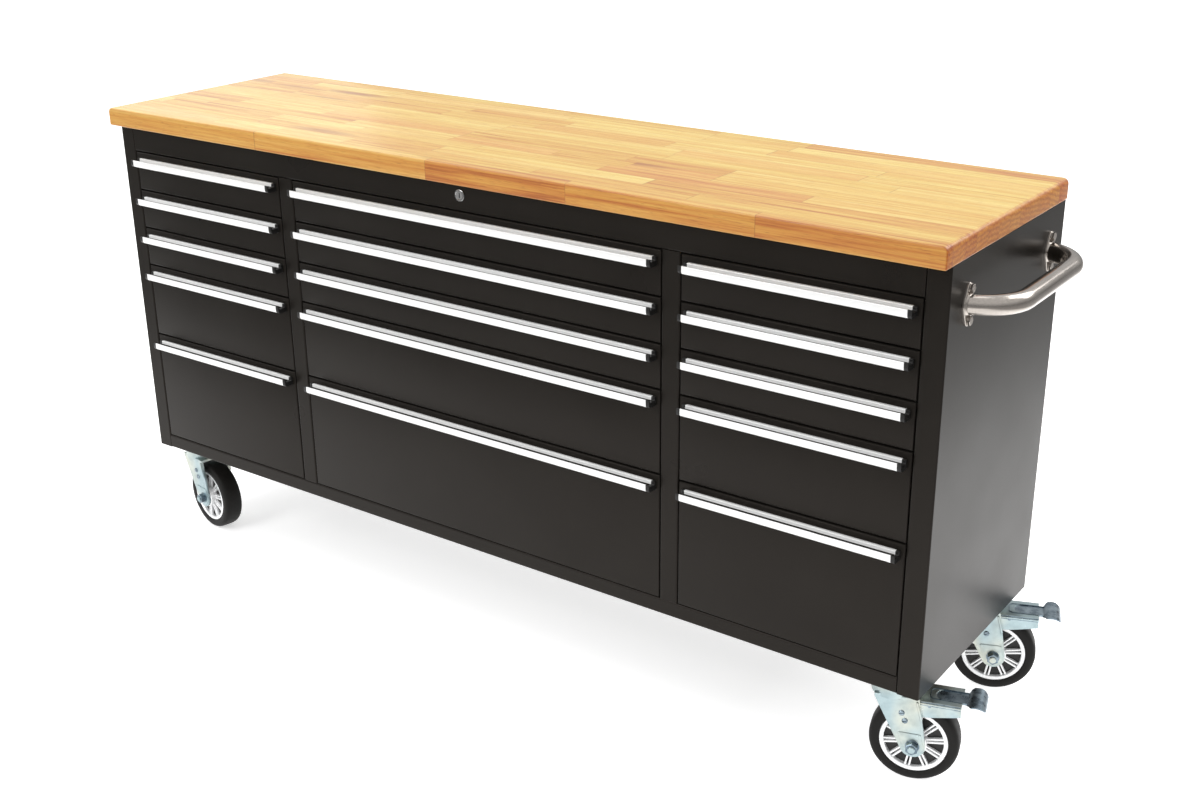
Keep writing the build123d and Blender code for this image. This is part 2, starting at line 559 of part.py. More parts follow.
def make_hood():
    """Inverted channel over the tyre of a braked castor, slotted for the pedal's tongue."""
    half = HOOD_WIDTH / 2
    low, high = HOOD_TOP - HOOD_ROOF, HOOD_TOP
    hood = block(HOOD_START, HOOD_END, -half, half, low, high)
    slot = SLOT_START + SLOT_RADIUS
    hood -= block(slot, HOOD_END + BEYOND, -SLOT_RADIUS, SLOT_RADIUS, low - BEYOND, high + BEYOND)
    hood -= rod(SLOT_RADIUS, (slot, 0, low - BEYOND), (slot, 0, high + BEYOND))
    side = make_face(Polyline((HOOD_START, high), (HOOD_END, high), (HOOD_END, HOOD_SIDE_END),
                              (HOOD_SIDE_KNEE, HOOD_SIDE_KNEE_Z), (HOOD_START, HOOD_SIDE_START_Z), close=True))
    for y in (-half, half - HOOD_SHEET):
        hood += upright(side, y, HOOD_SHEET)
    pin_hole = (PIVOT_S, -half - BEYOND, PIVOT_Z), (PIVOT_S, half + BEYOND, PIVOT_Z)
    return hood - rod(PIVOT_RADIUS + PIVOT_CLEARANCE, *pin_hole)


def make_fork(place, braked):
    """Fork about its swivel axis, with the wheel trailing along +X, then turned to its heading."""
    outer = LEG_INNER + LEG_THICK
    race_low = BASE_Z - PLATE_THICK - RACE_HEIGHT - RACE_GAP
    frame = rod(FORK_RACE_RADIUS, (0, 0, CROWN_LOW), (0, 0, race_low))
    frame += block(LEG_FRONT, LEG_REAR, -outer, outer, CROWN_LOW, CROWN_LOW + CROWN_THICK)
    for y in (-outer, LEG_INNER):
        frame += upright(leg_outline(), y, LEG_THICK)
    if braked:
        frame += make_hood()
    frame -= rod(AXLE_RADIUS, (TRAIL, -outer - BEYOND, WHEEL_RADIUS), (TRAIL, outer + BEYOND, WHEEL_RADIUS))
    frame -= rod(KINGPIN_RADIUS, (0, 0, CROWN_LOW - BEYOND), (0, 0, BASE_Z))
    axle = rod(AXLE_RADIUS, (TRAIL, -outer - AXLE_END, WHEEL_RADIUS), (TRAIL, outer, WHEEL_RADIUS))
    axle += hexagon(AXLE_NUT_ACROSS, (TRAIL, outer, WHEEL_RADIUS), (TRAIL, outer + AXLE_HEAD, WHEEL_RADIUS))
    nut_end = (TRAIL, -outer - AXLE_NUT, WHEEL_RADIUS)
    nut = hexagon(AXLE_NUT_ACROSS, nut_end, (TRAIL, -outer, WHEEL_RADIUS))
    nut -= rod(AXLE_RADIUS, (TRAIL, -outer - AXLE_END, WHEEL_RADIUS), (TRAIL, -LEG_INNER, WHEEL_RADIUS))
    kingpin = rod(KINGPIN_RADIUS, (0, 0, CROWN_LOW), (0, 0, BASE_Z - 2))
    kingpin += hexagon(AXLE_NUT_ACROSS, (0, 0, CROWN_LOW - KINGPIN_HEAD), (0, 0, CROWN_LOW))
    return [place * piece for piece in (frame, axle, nut, kingpin)]


HUB_GAP = 1.0
# Corners of a window between two spokes: offset, radius about the axle, and round
WINDOW_ROUNDS = ((0.0, 43.0, 5.0), (-5.0, 45.0, 3.0), (5.0, 45.0, 3.0), (0.0, 29.0, 2.0))


def ring_section(points):
    """Ring about the wheel's axle from a section of radius and offset along the axle."""
    section = make_face(Polyline(*[(radius, offset, 0) for radius, offset in points], close=True))
    turned = Plane((0, 0, 0), x_dir=(1, 0, 0), z_dir=(0, 0, 1)) * section
    solid = revolve(turned, axis=Axis.Y)
    return Pos(TRAIL, 0, WHEEL_RADIUS) * solid


def make_tyre():
    half = TYRE_WIDTH / 2
    profile = ((RIM_RADIUS, 1 - half), (RIM_RADIUS + 7, -half), (WHEEL_RADIUS - 4, 2 - half),
               (WHEEL_RADIUS - 1.2, 7 - half), (WHEEL_RADIUS, 14 - half))
    return ring_section((*profile, *((radius, -offset) for radius, offset in reversed(profile))))


def make_rim():
    """Hub, web with ten windows on each face, and the ring that carries the tyre."""
    half, hub = RIM_WIDTH / 2, LEG_INNER - HUB_GAP
    web, lip = half - RIM_STEP, RIM_RADIUS - RIM_EDGE
    profile = ((0, -hub), (HUB_RADIUS, -hub), (HUB_RADIUS, -web), (lip - 1, -web), (lip, -half),
               (RIM_RADIUS, -half))
    rim = ring_section((*profile, *((radius, -offset) for radius, offset in reversed(profile))))
    rim -= rod(AXLE_RADIUS + AXLE_CLEARANCE, (TRAIL, -hub - BEYOND, WHEEL_RADIUS),
               (TRAIL, hub + BEYOND, WHEEL_RADIUS))
    corners = [Pos(along, radius) * Circle(round_by) for along, radius, round_by in WINDOW_ROUNDS]
    window = make_hull(sum((corner.edges() for corner in corners), ShapeList()))
    for index in range(SPOKES):
        turned = Pos(TRAIL, WHEEL_RADIUS) * Rot(0, 0, 360 / SPOKES * index) * window
        rim -= upright(turned, -half - BEYOND, WINDOW_DEPTH + BEYOND)
        rim -= upright(turned, half - WINDOW_DEPTH, WINDOW_DEPTH + BEYOND)
    return rim


def make_pedal(place):
    """Tongue on its pivot pin, widening to a rolled foot plate."""
    root, low, high = PIVOT_S - 4, HOOD_TOP - 2.5, HOOD_TOP + 0.5
    side = Polyline((root, PIVOT_Z - 2), (PIVOT_S + 4, PIVOT_Z - 2), (92, HOOD_TOP - 3), (PEDAL_STEP, low),
                    (PEDAL_STEP, high), (93, high), (88, HOOD_TOP - 3.7), (PIVOT_S + 2, HOOD_TOP - 5.5),
                    (root, HOOD_TOP - 5.5), close=True)
    tongue = upright(make_face(side), -TONGUE_WIDTH / 2, TONGUE_WIDTH)
    upper = [(PEDAL_STEP - 3, low), (PEDAL_STEP + 6, HOOD_TOP + 3), (PEDAL_STEP + 18, HOOD_TOP + 5),
             (PEDAL_END - 6, HOOD_TOP + 1.5), (PEDAL_END - 1, HOOD_TOP - 5), (PEDAL_END, HOOD_TOP - 11)]
    lower = [(PEDAL_END - 3, HOOD_TOP - 11), (PEDAL_END - 5, HOOD_TOP - 6), (PEDAL_END - 9, HOOD_TOP - 2),
             (PEDAL_STEP + 17, HOOD_TOP + 2), (PEDAL_STEP + 7, HOOD_TOP), (PEDAL_STEP, HOOD_TOP - 5.5)]
    foot = upright(make_face(Polyline(*upper, *lower, close=True)), -PEDAL_WIDTH / 2, PEDAL_WIDTH)
    start = PEDAL_STEP - 2 * PEDAL_CORNER
    plan = Pos((start + PEDAL_END) / 2, 0) * RectangleRounded(PEDAL_END - start, PEDAL_WIDTH, PEDAL_CORNER)
    tongue += foot & extrude(Plane.XY.offset(PIVOT_Z - 20) * plan, amount=50)
    half = HOOD_WIDTH / 2
    tongue += rod(PIVOT_RADIUS, (PIVOT_S, -half, PIVOT_Z), (PIVOT_S, half, PIVOT_Z))
    return place * tongue


def make_castors():
    for name, x, y in castor_places():
        place = Pos(x, y, 0) * Rot(0, 0, CASTOR_HEADINGS[name])
        save(f"castor_fork_{name}", *make_fork(place, name in BRAKED))
        save(f"castor_tyre_{name}", place * make_tyre())
        save(f"castor_rim_{name}", place * make_rim())
        if name in BRAKED:
            save(f"brake_pedal_{name}", make_pedal(place))


os.makedirs("parts", exist_ok=True)
make_worktop()
make_side_panel(-1)
make_side_panel(1)
make_back_panel()
make_bottom_pan()
make_top_rail()
make_column_dividers()
make_slide_posts()
make_slide_rails()
make_drawers()
make_lock()
make_lock_bars()
make_side_handle()
make_hex_bolts()
make_castor_plates()
make_castors()
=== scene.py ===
import json
import math
import random

import bmesh
import bpy
from mathutils import Matrix, Vector


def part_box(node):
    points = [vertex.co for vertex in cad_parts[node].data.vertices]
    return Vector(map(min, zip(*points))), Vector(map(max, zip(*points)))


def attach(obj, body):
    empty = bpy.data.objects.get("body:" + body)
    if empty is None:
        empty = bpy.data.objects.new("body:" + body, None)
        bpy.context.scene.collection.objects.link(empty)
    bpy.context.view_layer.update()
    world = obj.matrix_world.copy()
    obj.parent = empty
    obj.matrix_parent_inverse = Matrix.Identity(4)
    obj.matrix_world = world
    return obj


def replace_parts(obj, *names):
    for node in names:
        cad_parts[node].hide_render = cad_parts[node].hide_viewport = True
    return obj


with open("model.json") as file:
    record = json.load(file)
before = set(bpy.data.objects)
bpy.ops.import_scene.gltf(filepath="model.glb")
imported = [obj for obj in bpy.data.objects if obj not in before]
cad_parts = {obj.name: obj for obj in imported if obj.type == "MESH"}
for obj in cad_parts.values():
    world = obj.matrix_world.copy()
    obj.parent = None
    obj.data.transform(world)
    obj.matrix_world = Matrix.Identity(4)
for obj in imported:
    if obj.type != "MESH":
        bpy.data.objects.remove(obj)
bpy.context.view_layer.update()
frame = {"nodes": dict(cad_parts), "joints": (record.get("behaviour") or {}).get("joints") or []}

# Studio: the bench stands on white paper that glows a little, more to the right, and fades to a
# grey floor in front and to the right. Soft lamps stand behind it on the right, above, in front
# and on the left, under a sky that is brightest overhead.

STUDIO_SIZE = 90.0
FLAT_AREA = 0.002
EYE_FROM_CORNER = Vector((2.6361, -1.9846, 1.3590))
AZIMUTH, ELEVATION, ROLL = 35.70, 21.89, -0.55
PAPER_FRONT_FADE, PAPER_FRONT_SLANT = (-1.8, -1.2), 0.30
PAPER_RIGHT_FADE, PAPER_RIGHT_SLANT = (2.15, 1.45), 0.26

cabinet_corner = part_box("left_side_panel")[0]
cabinet_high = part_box("right_side_panel")[1]
bench_middle = (cabinet_corner + cabinet_high) / 2

camera = bpy.data.objects.new("camera", bpy.data.cameras.new("camera"))
camera.data.lens = 46.02
camera.data.sensor_width = 36.0
camera.data.clip_end = 200.0
turn = Matrix.Rotation(math.radians(AZIMUTH), 4, "Z")
tilt = Matrix.Rotation(math.radians(90 - ELEVATION), 4, "X")
roll = Matrix.Rotation(math.radians(ROLL), 4, "Z")
camera.matrix_world = Matrix.Translation(cabinet_corner + EYE_FROM_CORNER) @ turn @ tilt @ roll
bpy.context.scene.collection.objects.link(camera)
bpy.context.scene.camera = camera
bpy.context.scene.view_settings.view_transform = "Standard"


def added(tree, kind, inputs=None, **settings):
    """New shader node; an input is a number, a colour or another node's socket."""
    node = tree.nodes.new(kind)
    for key, value in settings.items():
        setattr(node, key, value)
    for key, value in (inputs or {}).items():
        if isinstance(value, bpy.types.NodeSocket):
            tree.links.new(value, node.inputs[key])
        else:
            node.inputs[key].default_value = value
    return node


def maths(tree, operation, *values):
    return added(tree, "ShaderNodeMath", dict(enumerate(values)), operation=operation).outputs[0]


def moved(tree, vector, operation, by):
    return added(tree, "ShaderNodeVectorMath", {0: vector, 1: by}, operation=operation).outputs[0]


def noise(tree, vector, scale, detail=2.0, roughness=0.5):
    return added(tree, "ShaderNodeTexNoise", {"Vector": vector, "Scale": scale, "Detail": detail,
                                              "Roughness": roughness}).outputs["Fac"]


def graded(tree, value, low, high, start=0.0, end=1.0):
    """Takes a value's range to another range, held at its ends."""
    return added(tree, "ShaderNodeMapRange", {"Value": value, "From Min": low, "From Max": high,
                                              "To Min": start, "To Max": end}).outputs[0]


def mixed(tree, factor, first, second, blend_type="MIX"):
    return added(tree, "ShaderNodeMix", {0: factor, 6: first, 7: second}, data_type="RGBA",
                 blend_type=blend_type).outputs[2]


def ramped(tree, value, *stops):
    """Colour along a value; each stop is a place and a colour."""
    node = added(tree, "ShaderNodeValToRGB", {"Fac": value})
    ramp = node.color_ramp
    ramp.elements[0].position, ramp.elements[0].color = stops[0][0], (*stops[0][1], 1)
    ramp.elements[1].position, ramp.elements[1].color = stops[-1][0], (*stops[-1][1], 1)
    for place, colour in stops[1:-1]:
        ramp.elements.new(place).color = (*colour, 1)
    return node.outputs["Color"]


def here(tree):
    return added(tree, "ShaderNodeTexCoord").outputs["Object"]


def bumped(tree, height, strength, distance):
    return added(tree, "ShaderNodeBump", {"Height": height, "Strength": strength,
                                          "Distance": distance}).outputs["Normal"]


def new_finish(name, **sockets):
    """New material and its surface shader, with constant values set on the shader's sockets."""
    material = bpy.data.materials.new(name)
    material.use_nodes = True
    shader = material.node_tree.nodes["Principled BSDF"]
    for key, value in sockets.items():
        shader.inputs[key.replace("_", " ")].default_value = value
    return material, material.node_tree, shader


def wired(shader, **sockets):
    """Feeds sockets of a surface shader from other nodes."""
    for key, value in sockets.items():
        shader.id_data.links.new(value, shader.inputs[key.replace("_", " ")])


def show(name, mesh, body, material, smooth=True):
    """Finishes a mesh under construction as a piece that rides on a body."""
    bmesh.ops.recalc_face_normals(mesh, faces=mesh.faces[:])
    data = bpy.data.meshes.new(name)
    mesh.to_mesh(data)
    mesh.free()
    for polygon in data.polygons:
        polygon.use_smooth = smooth and polygon.area < FLAT_AREA
    data.materials.append(material)
    piece = bpy.data.objects.new(name, data)
    bpy.context.scene.collection.objects.link(piece)
    if smooth:
        data.set_sharp_from_angle(angle=math.radians(32))
    if body is None:
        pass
    else:
        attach(piece, body)
    return piece


def height_of(tree, vector, axis="Z"):
    return added(tree, "ShaderNodeSeparateXYZ", {"Vector": vector}).outputs[axis]


world = bpy.data.worlds.new("studio")
world.use_nodes = True
sky = height_of(world.node_tree, added(world.node_tree, "ShaderNodeTexCoord").outputs["Generated"])
backdrop = world.node_tree.nodes["Background"]
backdrop.inputs["Color"].default_value = (1.0, 1.0, 1.0, 1.0)
brightness = graded(world.node_tree, sky, 0.0, 0.6, 0.30, 0.95)
world.node_tree.links.new(brightness, backdrop.inputs["Strength"])
bpy.context.scene.world = world


def soft_light(name, place, size, power):
    """Square panel light at a place relative to the bench's middle, aimed at the bench."""
    lamp = bpy.data.objects.new(name, bpy.data.lights.new(name, "AREA"))
    lamp.data.shape = "SQUARE"
    lamp.data.size = size
    lamp.data.energy = power
    lamp.location = bench_middle + Vector(place)
    lamp.rotation_euler = (-Vector(place)).to_track_quat("-Z", "Y").to_euler()
    bpy.context.scene.collection.objects.link(lamp)


soft_light("key_light", (2.4, 2.6, 3.0), 2.6, 85)
soft_light("overhead_light", (-0.6, 0.4, 3.4), 2.8, 36)
soft_light("front_light", (-1.2, -3.4, 2.0), 1.8, 52)
soft_light("left_light", (-4.0, -1.0, 2.6), 2.0, 26)
soft_light("far_left_light", (-4.2, 2.4, 1.2), 2.2, 12)


floor_finish, tree, shader = new_finish("sweep_paper", Roughness=0.7, Emission_Strength=0.50)
floor_x, floor_y = height_of(tree, here(tree), "X"), height_of(tree, here(tree), "Y")
forward = maths(tree, "MULTIPLY_ADD", floor_x, PAPER_FRONT_SLANT, floor_y)
rightward = maths(tree, "MULTIPLY_ADD", floor_y, PAPER_RIGHT_SLANT, floor_x)
paper = maths(tree, "MULTIPLY", graded(tree, forward, *PAPER_FRONT_FADE),
              graded(tree, rightward, *PAPER_RIGHT_FADE))
wired(shader, Base_Color=mixed(tree, paper, (0.34, 0.335, 0.33, 1), (0.92, 0.92, 0.92, 1)))
bright_end = maths(tree, "MULTIPLY", graded(tree, floor_x, 0.5, 1.1, 0.0, 1.2),
                   graded(tree, floor_y, -0.7, 0.2))
glow = maths(tree, "MULTIPLY", paper, maths(tree, "ADD", bright_end, 1.0))
wired(shader, Emission_Color=maths(tree, "ADD", glow, 0.10))
floor_mesh = bmesh.new()
bmesh.ops.create_grid(floor_mesh, x_segments=1, y_segments=1, size=STUDIO_SIZE / 2)
show("floor", floor_mesh, None, floor_finish, smooth=False)


# Worktop: butcher block of rubberwood, edge-glued from eleven rows of staves with staggered butt
# joints, sanded with eased edges and sealed with a satin lacquer. A narrow row of long staves
# closes the front edge. It lies on the cabinet's flanges, screwed from below.

STAVE_ROWS = 11
FRONT_STRIP = 0.021
SHORTEST_STAVE, LONGEST_STAVE = 0.16, 0.46
FRONT_JOINTS = (0.43, 0.859, 1.163, 1.52)
TOP_ARRIS, END_ROUND, LOW_ROUND = 0.0030, 0.0100, 0.0032
FRONT_TONES = (0.42, 0.5, 1.1, 0.78, 0.85)
EDGE_MARGIN = 0.0001


def block(mesh, low, high):
    """Adds a rectangular block between two corners; returns what was added."""
    low, high = Vector(low), Vector(high)
    place = Matrix.LocRotScale((low + high) / 2, None, high - low)
    return bmesh.ops.create_cube(mesh, size=1, matrix=place)["verts"]


def edges_of(verts):
    return list({edge for vert in verts for edge in vert.link_edges})


def verts_in(items):
    return [item for item in items if isinstance(item, bmesh.types.BMVert)]


def eased(mesh, edges, width, segments):
    """Rounds edges."""
    bmesh.ops.bevel(mesh, geom=edges, offset=width, offset_type="OFFSET", segments=segments,
                    profile=0.5, affect="EDGES", material=-1, clamp_overlap=True)


def cut(mesh, faces, place, normal):
    """Cuts through some faces along a plane."""
    around = {item for face in faces for item in (*face.verts, *face.edges)}
    bmesh.ops.bisect_plane(mesh, geom=[*around, *faces], plane_co=place, plane_no=normal)


def stave_lengths(draw, start, end):
    """Ends of the staves along one row."""
    places = [start]
    while end - places[-1] > LONGEST_STAVE + SHORTEST_STAVE:
        places.append(places[-1] + draw.uniform(SHORTEST_STAVE, LONGEST_STAVE))
    return places + [end]


def between(face, axis, low, high):
    return low < face.calc_center_median()[axis] < high


def share(value, low, high, first, last):
    """How far across a stave a point is: 0 and 1 at its glue lines, 0.5 at the slab's own edges."""
    across = (value - low) / (high - low)
    if first and last:
        return 0.5
    if first:
        return 0.5 + across / 2
    return across / 2 if last else across


top_low, top_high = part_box("worktop")
wood_draw = random.Random(12)
slab = bmesh.new()
profile = [slab.verts.new((x, top_low.y, z)) for x, z in (
    (top_low.x, top_low.z), (top_high.x, top_low.z),
    (top_high.x, top_high.z), (top_low.x, top_high.z))]
slab.faces.new(profile)
for corner, rounding in zip(profile, (LOW_ROUND, LOW_ROUND, END_ROUND, END_ROUND)):
    bmesh.ops.bevel(slab, geom=[corner], offset=rounding, offset_type="OFFSET", segments=7,
                    profile=0.5, affect="VERTICES", material=-1)
grown = bmesh.ops.extrude_face_region(slab, geom=slab.faces[:])
bmesh.ops.translate(slab, verts=verts_in(grown["geom"]), vec=(0, top_high.y - top_low.y, 0))
bmesh.ops.recalc_face_normals(slab, faces=slab.faces[:])
outlines = [edge for edge in slab.edges if abs(edge.verts[0].co.y - edge.verts[1].co.y) < 1e-6]
eased(slab, outlines, TOP_ARRIS, 4)
row_width = (top_high.y - top_low.y - FRONT_STRIP) / STAVE_ROWS
row_ends = [top_low.y, top_low.y + FRONT_STRIP]
row_ends += [row_ends[1] + row_width * (row + 1) for row in range(STAVE_ROWS)]
for y in row_ends[1:-1]:
    cut(slab, slab.faces[:], (0, y, 0), (0, 1, 0))
stave_layer = slab.faces.layers.float_vector.new("stave")
glue_layer = slab.loops.layers.uv.new("glue_lines")
for row, (y0, y1) in enumerate(zip(row_ends, row_ends[1:])):
    joints = stave_lengths(wood_draw, top_low.x - wood_draw.uniform(0.0, 0.3), top_high.x)
    if row == 0:
        joints = [top_low.x, *(top_low.x + joint for joint in FRONT_JOINTS), top_high.x]
    near = y0 - (EDGE_MARGIN if row == 0 else 0)
    far = y1 + (EDGE_MARGIN if row == STAVE_ROWS else 0)
    for x in joints[1:-1]:
        cut(slab, [face for face in slab.faces if between(face, 1, near, far)], (x, 0, 0), (1, 0, 0))
    row_faces = [face for face in slab.faces if between(face, 1, near, far)]
    for number, (x0, x1) in enumerate(zip(joints, joints[1:])):
        stave = Vector((wood_draw.random(), wood_draw.random(), wood_draw.random()))
        if row == 0:
            stave.x, stave.z = FRONT_TONES[number], 0.5
        for face in row_faces:
            if not between(face, 0, x0 - EDGE_MARGIN, x1 + EDGE_MARGIN):
                continue
            face[stave_layer] = stave
            for loop in face.loops:
                u = share(loop.vert.co.x, x0, x1, number == 0, number == len(joints) - 2)
                v = share(loop.vert.co.y, y0, y1, row == 0, row == STAVE_ROWS)
                loop[glue_layer].uv = (u, v)


wood, tree, shader = new_finish("rubberwood", Coat_Roughness=0.2, Coat_Weight=0.3, IOR=1.46)
stave = added(tree, "ShaderNodeAttribute", attribute_name="stave")
parts = added(tree, "ShaderNodeSeparateXYZ", {"Vector": stave.outputs["Vector"]})
own = moved(tree, here(tree), "ADD", moved(tree, stave.outputs["Vector"], "MULTIPLY", (9.0, 3.0, 2.0)))
sway = noise(tree, moved(tree, own, "MULTIPLY", (2.2, 14.0, 14.0)), 1.0)
streak = noise(tree, moved(tree, own, "MULTIPLY", (3.2, 110.0, 110.0)), 1.0, 3.0, 0.6)
ribbon = noise(tree, moved(tree, own, "MULTIPLY", (5.0, 320.0, 320.0)), 1.0, 2.0)
fibre = noise(tree, moved(tree, own, "MULTIPLY", (28.0, 900.0, 900.0)), 1.0, 2.0)
pores = noise(tree, moved(tree, own, "MULTIPLY", (60.0, 1400.0, 1400.0)), 1.0, 0.0)
heart = moved(tree, stave.outputs["Vector"], "MULTIPLY", (0.0, 0.22, 0.3))
rings = added(tree, "ShaderNodeTexWave", {
    "Vector": moved(tree, moved(tree, here(tree), "MULTIPLY", (0.12, 1.0, 1.0)), "ADD", heart),
    "Scale": 38.0, "Distortion": 3.2, "Detail": 2.0, "Detail Scale": 1.4},
    wave_type="RINGS", rings_direction="X").outputs["Fac"]
tone = maths(tree, "ADD", graded(tree, parts.outputs["X"], 0.0, 1.0, 0.06, 0.74),
             graded(tree, streak, 0.3, 0.7, -0.3, 0.3))
tone = maths(tree, "ADD", tone, graded(tree, ribbon, 0.35, 0.7, -0.12, 0.2))
colour = ramped(tree, tone, (0.0, (0.73, 0.58, 0.20)), (0.34, (0.665, 0.465, 0.125)),
                (0.62, (0.60, 0.355, 0.082)), (0.82, (0.52, 0.245, 0.055)), (1.0, (0.38, 0.14, 0.030)))
reddish = graded(tree, parts.outputs["Z"], 0.6, 1.0, 0.0, 0.28)
colour = mixed(tree, reddish, colour, (0.64, 0.27, 0.10, 1))
colour = mixed(tree, graded(tree, rings, 0.35, 1.0, 0.0, 0.22), colour, (0.58, 0.27, 0.075, 1))
colour = mixed(tree, graded(tree, sway, 0.5, 0.8, 0.0, 0.2), colour, (0.58, 0.28, 0.09, 1))
colour = mixed(tree, graded(tree, fibre, 0.52, 0.74, 0.0, 0.38), colour, (0.42, 0.18, 0.05, 1))
colour = mixed(tree, graded(tree, pores, 0.70, 0.78, 0.0, 0.45), colour, (0.24, 0.095, 0.028, 1))
knots = added(tree, "ShaderNodeTexVoronoi", {
    "Vector": moved(tree, own, "MULTIPLY", (1.5, 9.0, 9.0)), "Scale": 1.0, "Randomness": 1.0},
    feature="F1").outputs["Distance"]
colour = mixed(tree, graded(tree, knots, 0.045, 0.17, 0.85, 0.0), colour, (0.30, 0.115, 0.035, 1))
normal = added(tree, "ShaderNodeNewGeometry").outputs["Normal"]
facing = added(tree, "ShaderNodeSeparateXYZ", {"Vector": normal})
# Painted shade: the front and back faces are tinted darker and more orange than the top, standing for the
# top's brighter, sheen-lit look.
side_face_shade = graded(tree, maths(tree, "ABSOLUTE", facing.outputs["Y"]), 0.3, 0.9, 0.0, 0.75)
colour = mixed(tree, side_face_shade, colour, mixed(tree, 1.0, colour, (0.97, 0.66, 0.43, 1), "MULTIPLY"))
end_grain = graded(tree, maths(tree, "ABSOLUTE", facing.outputs["X"]), 0.25, 0.8)
speckle = noise(tree, here(tree), 420.0, 3.0)
end_bands = maths(tree, "ADD", graded(tree, speckle, 0.3, 0.7, 0.0, 0.45),
                  graded(tree, rings, 0.2, 0.9, 0.0, 0.32))
end_shade = mixed(tree, end_bands, (1.0, 0.58, 0.26, 1), (0.50, 0.20, 0.07, 1))
colour = mixed(tree, end_grain, colour, mixed(tree, 1.0, colour, end_shade, "MULTIPLY"))
glue = added(tree, "ShaderNodeSeparateXYZ", {
    "Vector": added(tree, "ShaderNodeUVMap", uv_map="glue_lines").outputs["UV"]})
side = maths(tree, "ABSOLUTE", maths(tree, "SUBTRACT", glue.outputs["Y"], 0.5))
butt = maths(tree, "ABSOLUTE", maths(tree, "SUBTRACT", glue.outputs["X"], 0.5))
joint = maths(tree, "MAXIMUM", graded(tree, side, 0.484, 0.498), graded(tree, butt, 0.4975, 0.4995))
colour = mixed(tree, maths(tree, "MULTIPLY", joint, 0.55), colour, (0.28, 0.11, 0.03, 1))
relief = maths(tree, "SUBTRACT", maths(tree, "MULTIPLY", fibre, 0.5), maths(tree, "ADD", joint, pores))
wired(shader, Base_Color=colour, Roughness=graded(tree, fibre, 0.3, 0.7, 0.36, 0.5),
      Normal=bumped(tree, relief, 0.25, 0.0002))
worktop = show("worktop_block", slab, "bench", wood)
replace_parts(worktop, "worktop")


# Cabinet shell: folded sheet steel, spot-welded, with a semi-gloss black powder coat. The coat
# has a fine orange-peel texture and holds a little dust in its rough places.

CABINET_SHELL = ("left_side_panel", "right_side_panel", "back_panel", "bottom_pan", "top_rail",
                 "column_dividers")
FOLD_RADIUS = 0.0012


def new_group(name, inputs, outputs):
    """New group of shader nodes; a socket is a label and its kind. Returns it and its two ends."""
    group = bpy.data.node_groups.new(name, "ShaderNodeTree")
    for label, kind in inputs:
        group.interface.new_socket(name=label, in_out="INPUT", socket_type=f"NodeSocket{kind}")
    for label, kind in outputs:
        group.interface.new_socket(name=label, in_out="OUTPUT", socket_type=f"NodeSocket{kind}")
    return group, group.nodes.new("NodeGroupInput").outputs, group.nodes.new("NodeGroupOutput").inputs


dust_group, given, result = new_group(
    "settled_dust", [("Color", "Color"), ("Amount", "Float")], [("Color", "Color"), ("Dust", "Float")])
normal = added(dust_group, "ShaderNodeNewGeometry").outputs["Normal"]
lying = graded(dust_group, height_of(dust_group, normal), 0.1, 0.95, 0.22, 1.0)
drift = graded(dust_group, noise(dust_group, here(dust_group), 7.0, 4.0, 0.6), 0.35, 0.75, 0.25, 1.0)
motes = graded(dust_group, noise(dust_group, here(dust_group), 900.0, 1.0), 0.5, 0.8, 0.35, 1.0)
amount = maths(dust_group, "MULTIPLY", maths(dust_group, "MULTIPLY", lying, drift), motes)
amount = maths(dust_group, "MULTIPLY", amount, given["Amount"])
dust_group.links.new(mixed(dust_group, amount, given["Color"], (0.34, 0.31, 0.27, 1)), result["Color"])
dust_group.links.new(amount, result["Dust"])


def dusted(tree, colour, amount):
    """Dust lying on a finish: its colour, and how much of it there is."""
    group = added(tree, "ShaderNodeGroup", {"Color": colour, "Amount": amount}, node_tree=dust_group)
    return group.outputs["Color"], group.outputs["Dust"]


powder_coat, tree, shader = new_finish("black_powder_coat", IOR=1.5, Specular_IOR_Level=0.14,
                                       Specular_Tint=(1.0, 0.88, 0.80, 1.0))
peel = noise(tree, here(tree), 700.0, 2.0, 0.55)
cloud = noise(tree, here(tree), 5.0, 3.0)
colour = mixed(tree, graded(tree, cloud, 0.3, 0.7), (0.0105, 0.0092, 0.0078, 1),
               (0.0135, 0.0120, 0.0102, 1))
colour, dust = dusted(tree, colour, 0.035)
sheen = graded(tree, cloud, 0.3, 0.7, 0.27, 0.34)
rounded = added(tree, "ShaderNodeBevel", {"Radius": FOLD_RADIUS}, samples=4).outputs["Normal"]
texture = added(tree, "ShaderNodeBump", {"Height": peel, "Strength": 0.10, "Distance": 0.0003,
                                         "Normal": rounded}).outputs["Normal"]
wired(shader, Base_Color=colour, Normal=texture,
      Roughness=maths(tree, "ADD", sheen, maths(tree, "MULTIPLY", dust, 1.5)))


def coat_node(name, material):
    """Gives a carried-over node its finish."""
    data = frame["nodes"][name].data
    data.materials.clear()
    data.materials.append(material)


for name in CABINET_SHELL:
    coat_node(name, powder_coat)


# Inside the cabinet: upright channels, slide members and the locking bars are zinc-plated sheet
# steel. The screws that hold the worktop from below have the same finish.

zinc_sheet, tree, shader = new_finish("galvanised_sheet", Metallic=1.0)
spangle = added(tree, "ShaderNodeTexVoronoi", {"Vector": here(tree), "Scale": 160.0}, feature="F1")
grey = graded(tree, spangle.outputs["Distance"], 0.0, 0.8, 0.42, 0.58)
blue = maths(tree, "MULTIPLY", grey, 1.03)
colour = added(tree, "ShaderNodeCombineColor", {0: grey, 1: grey, 2: blue}).outputs[0]
wired(shader, Base_Color=colour,
      Roughness=graded(tree, noise(tree, here(tree), 40.0), 0.3, 0.7, 0.28, 0.42))
for name in ("slide_posts", "slide_rails", "lock_bars", "worktop_screws"):
    coat_node(name, zinc_sheet)


# Drawers: each has a front pan folded from sheet with rounded edges, a folded tray welded behind
# it, both powder-coated, and zinc-plated slide members and a locking peg on the tray.

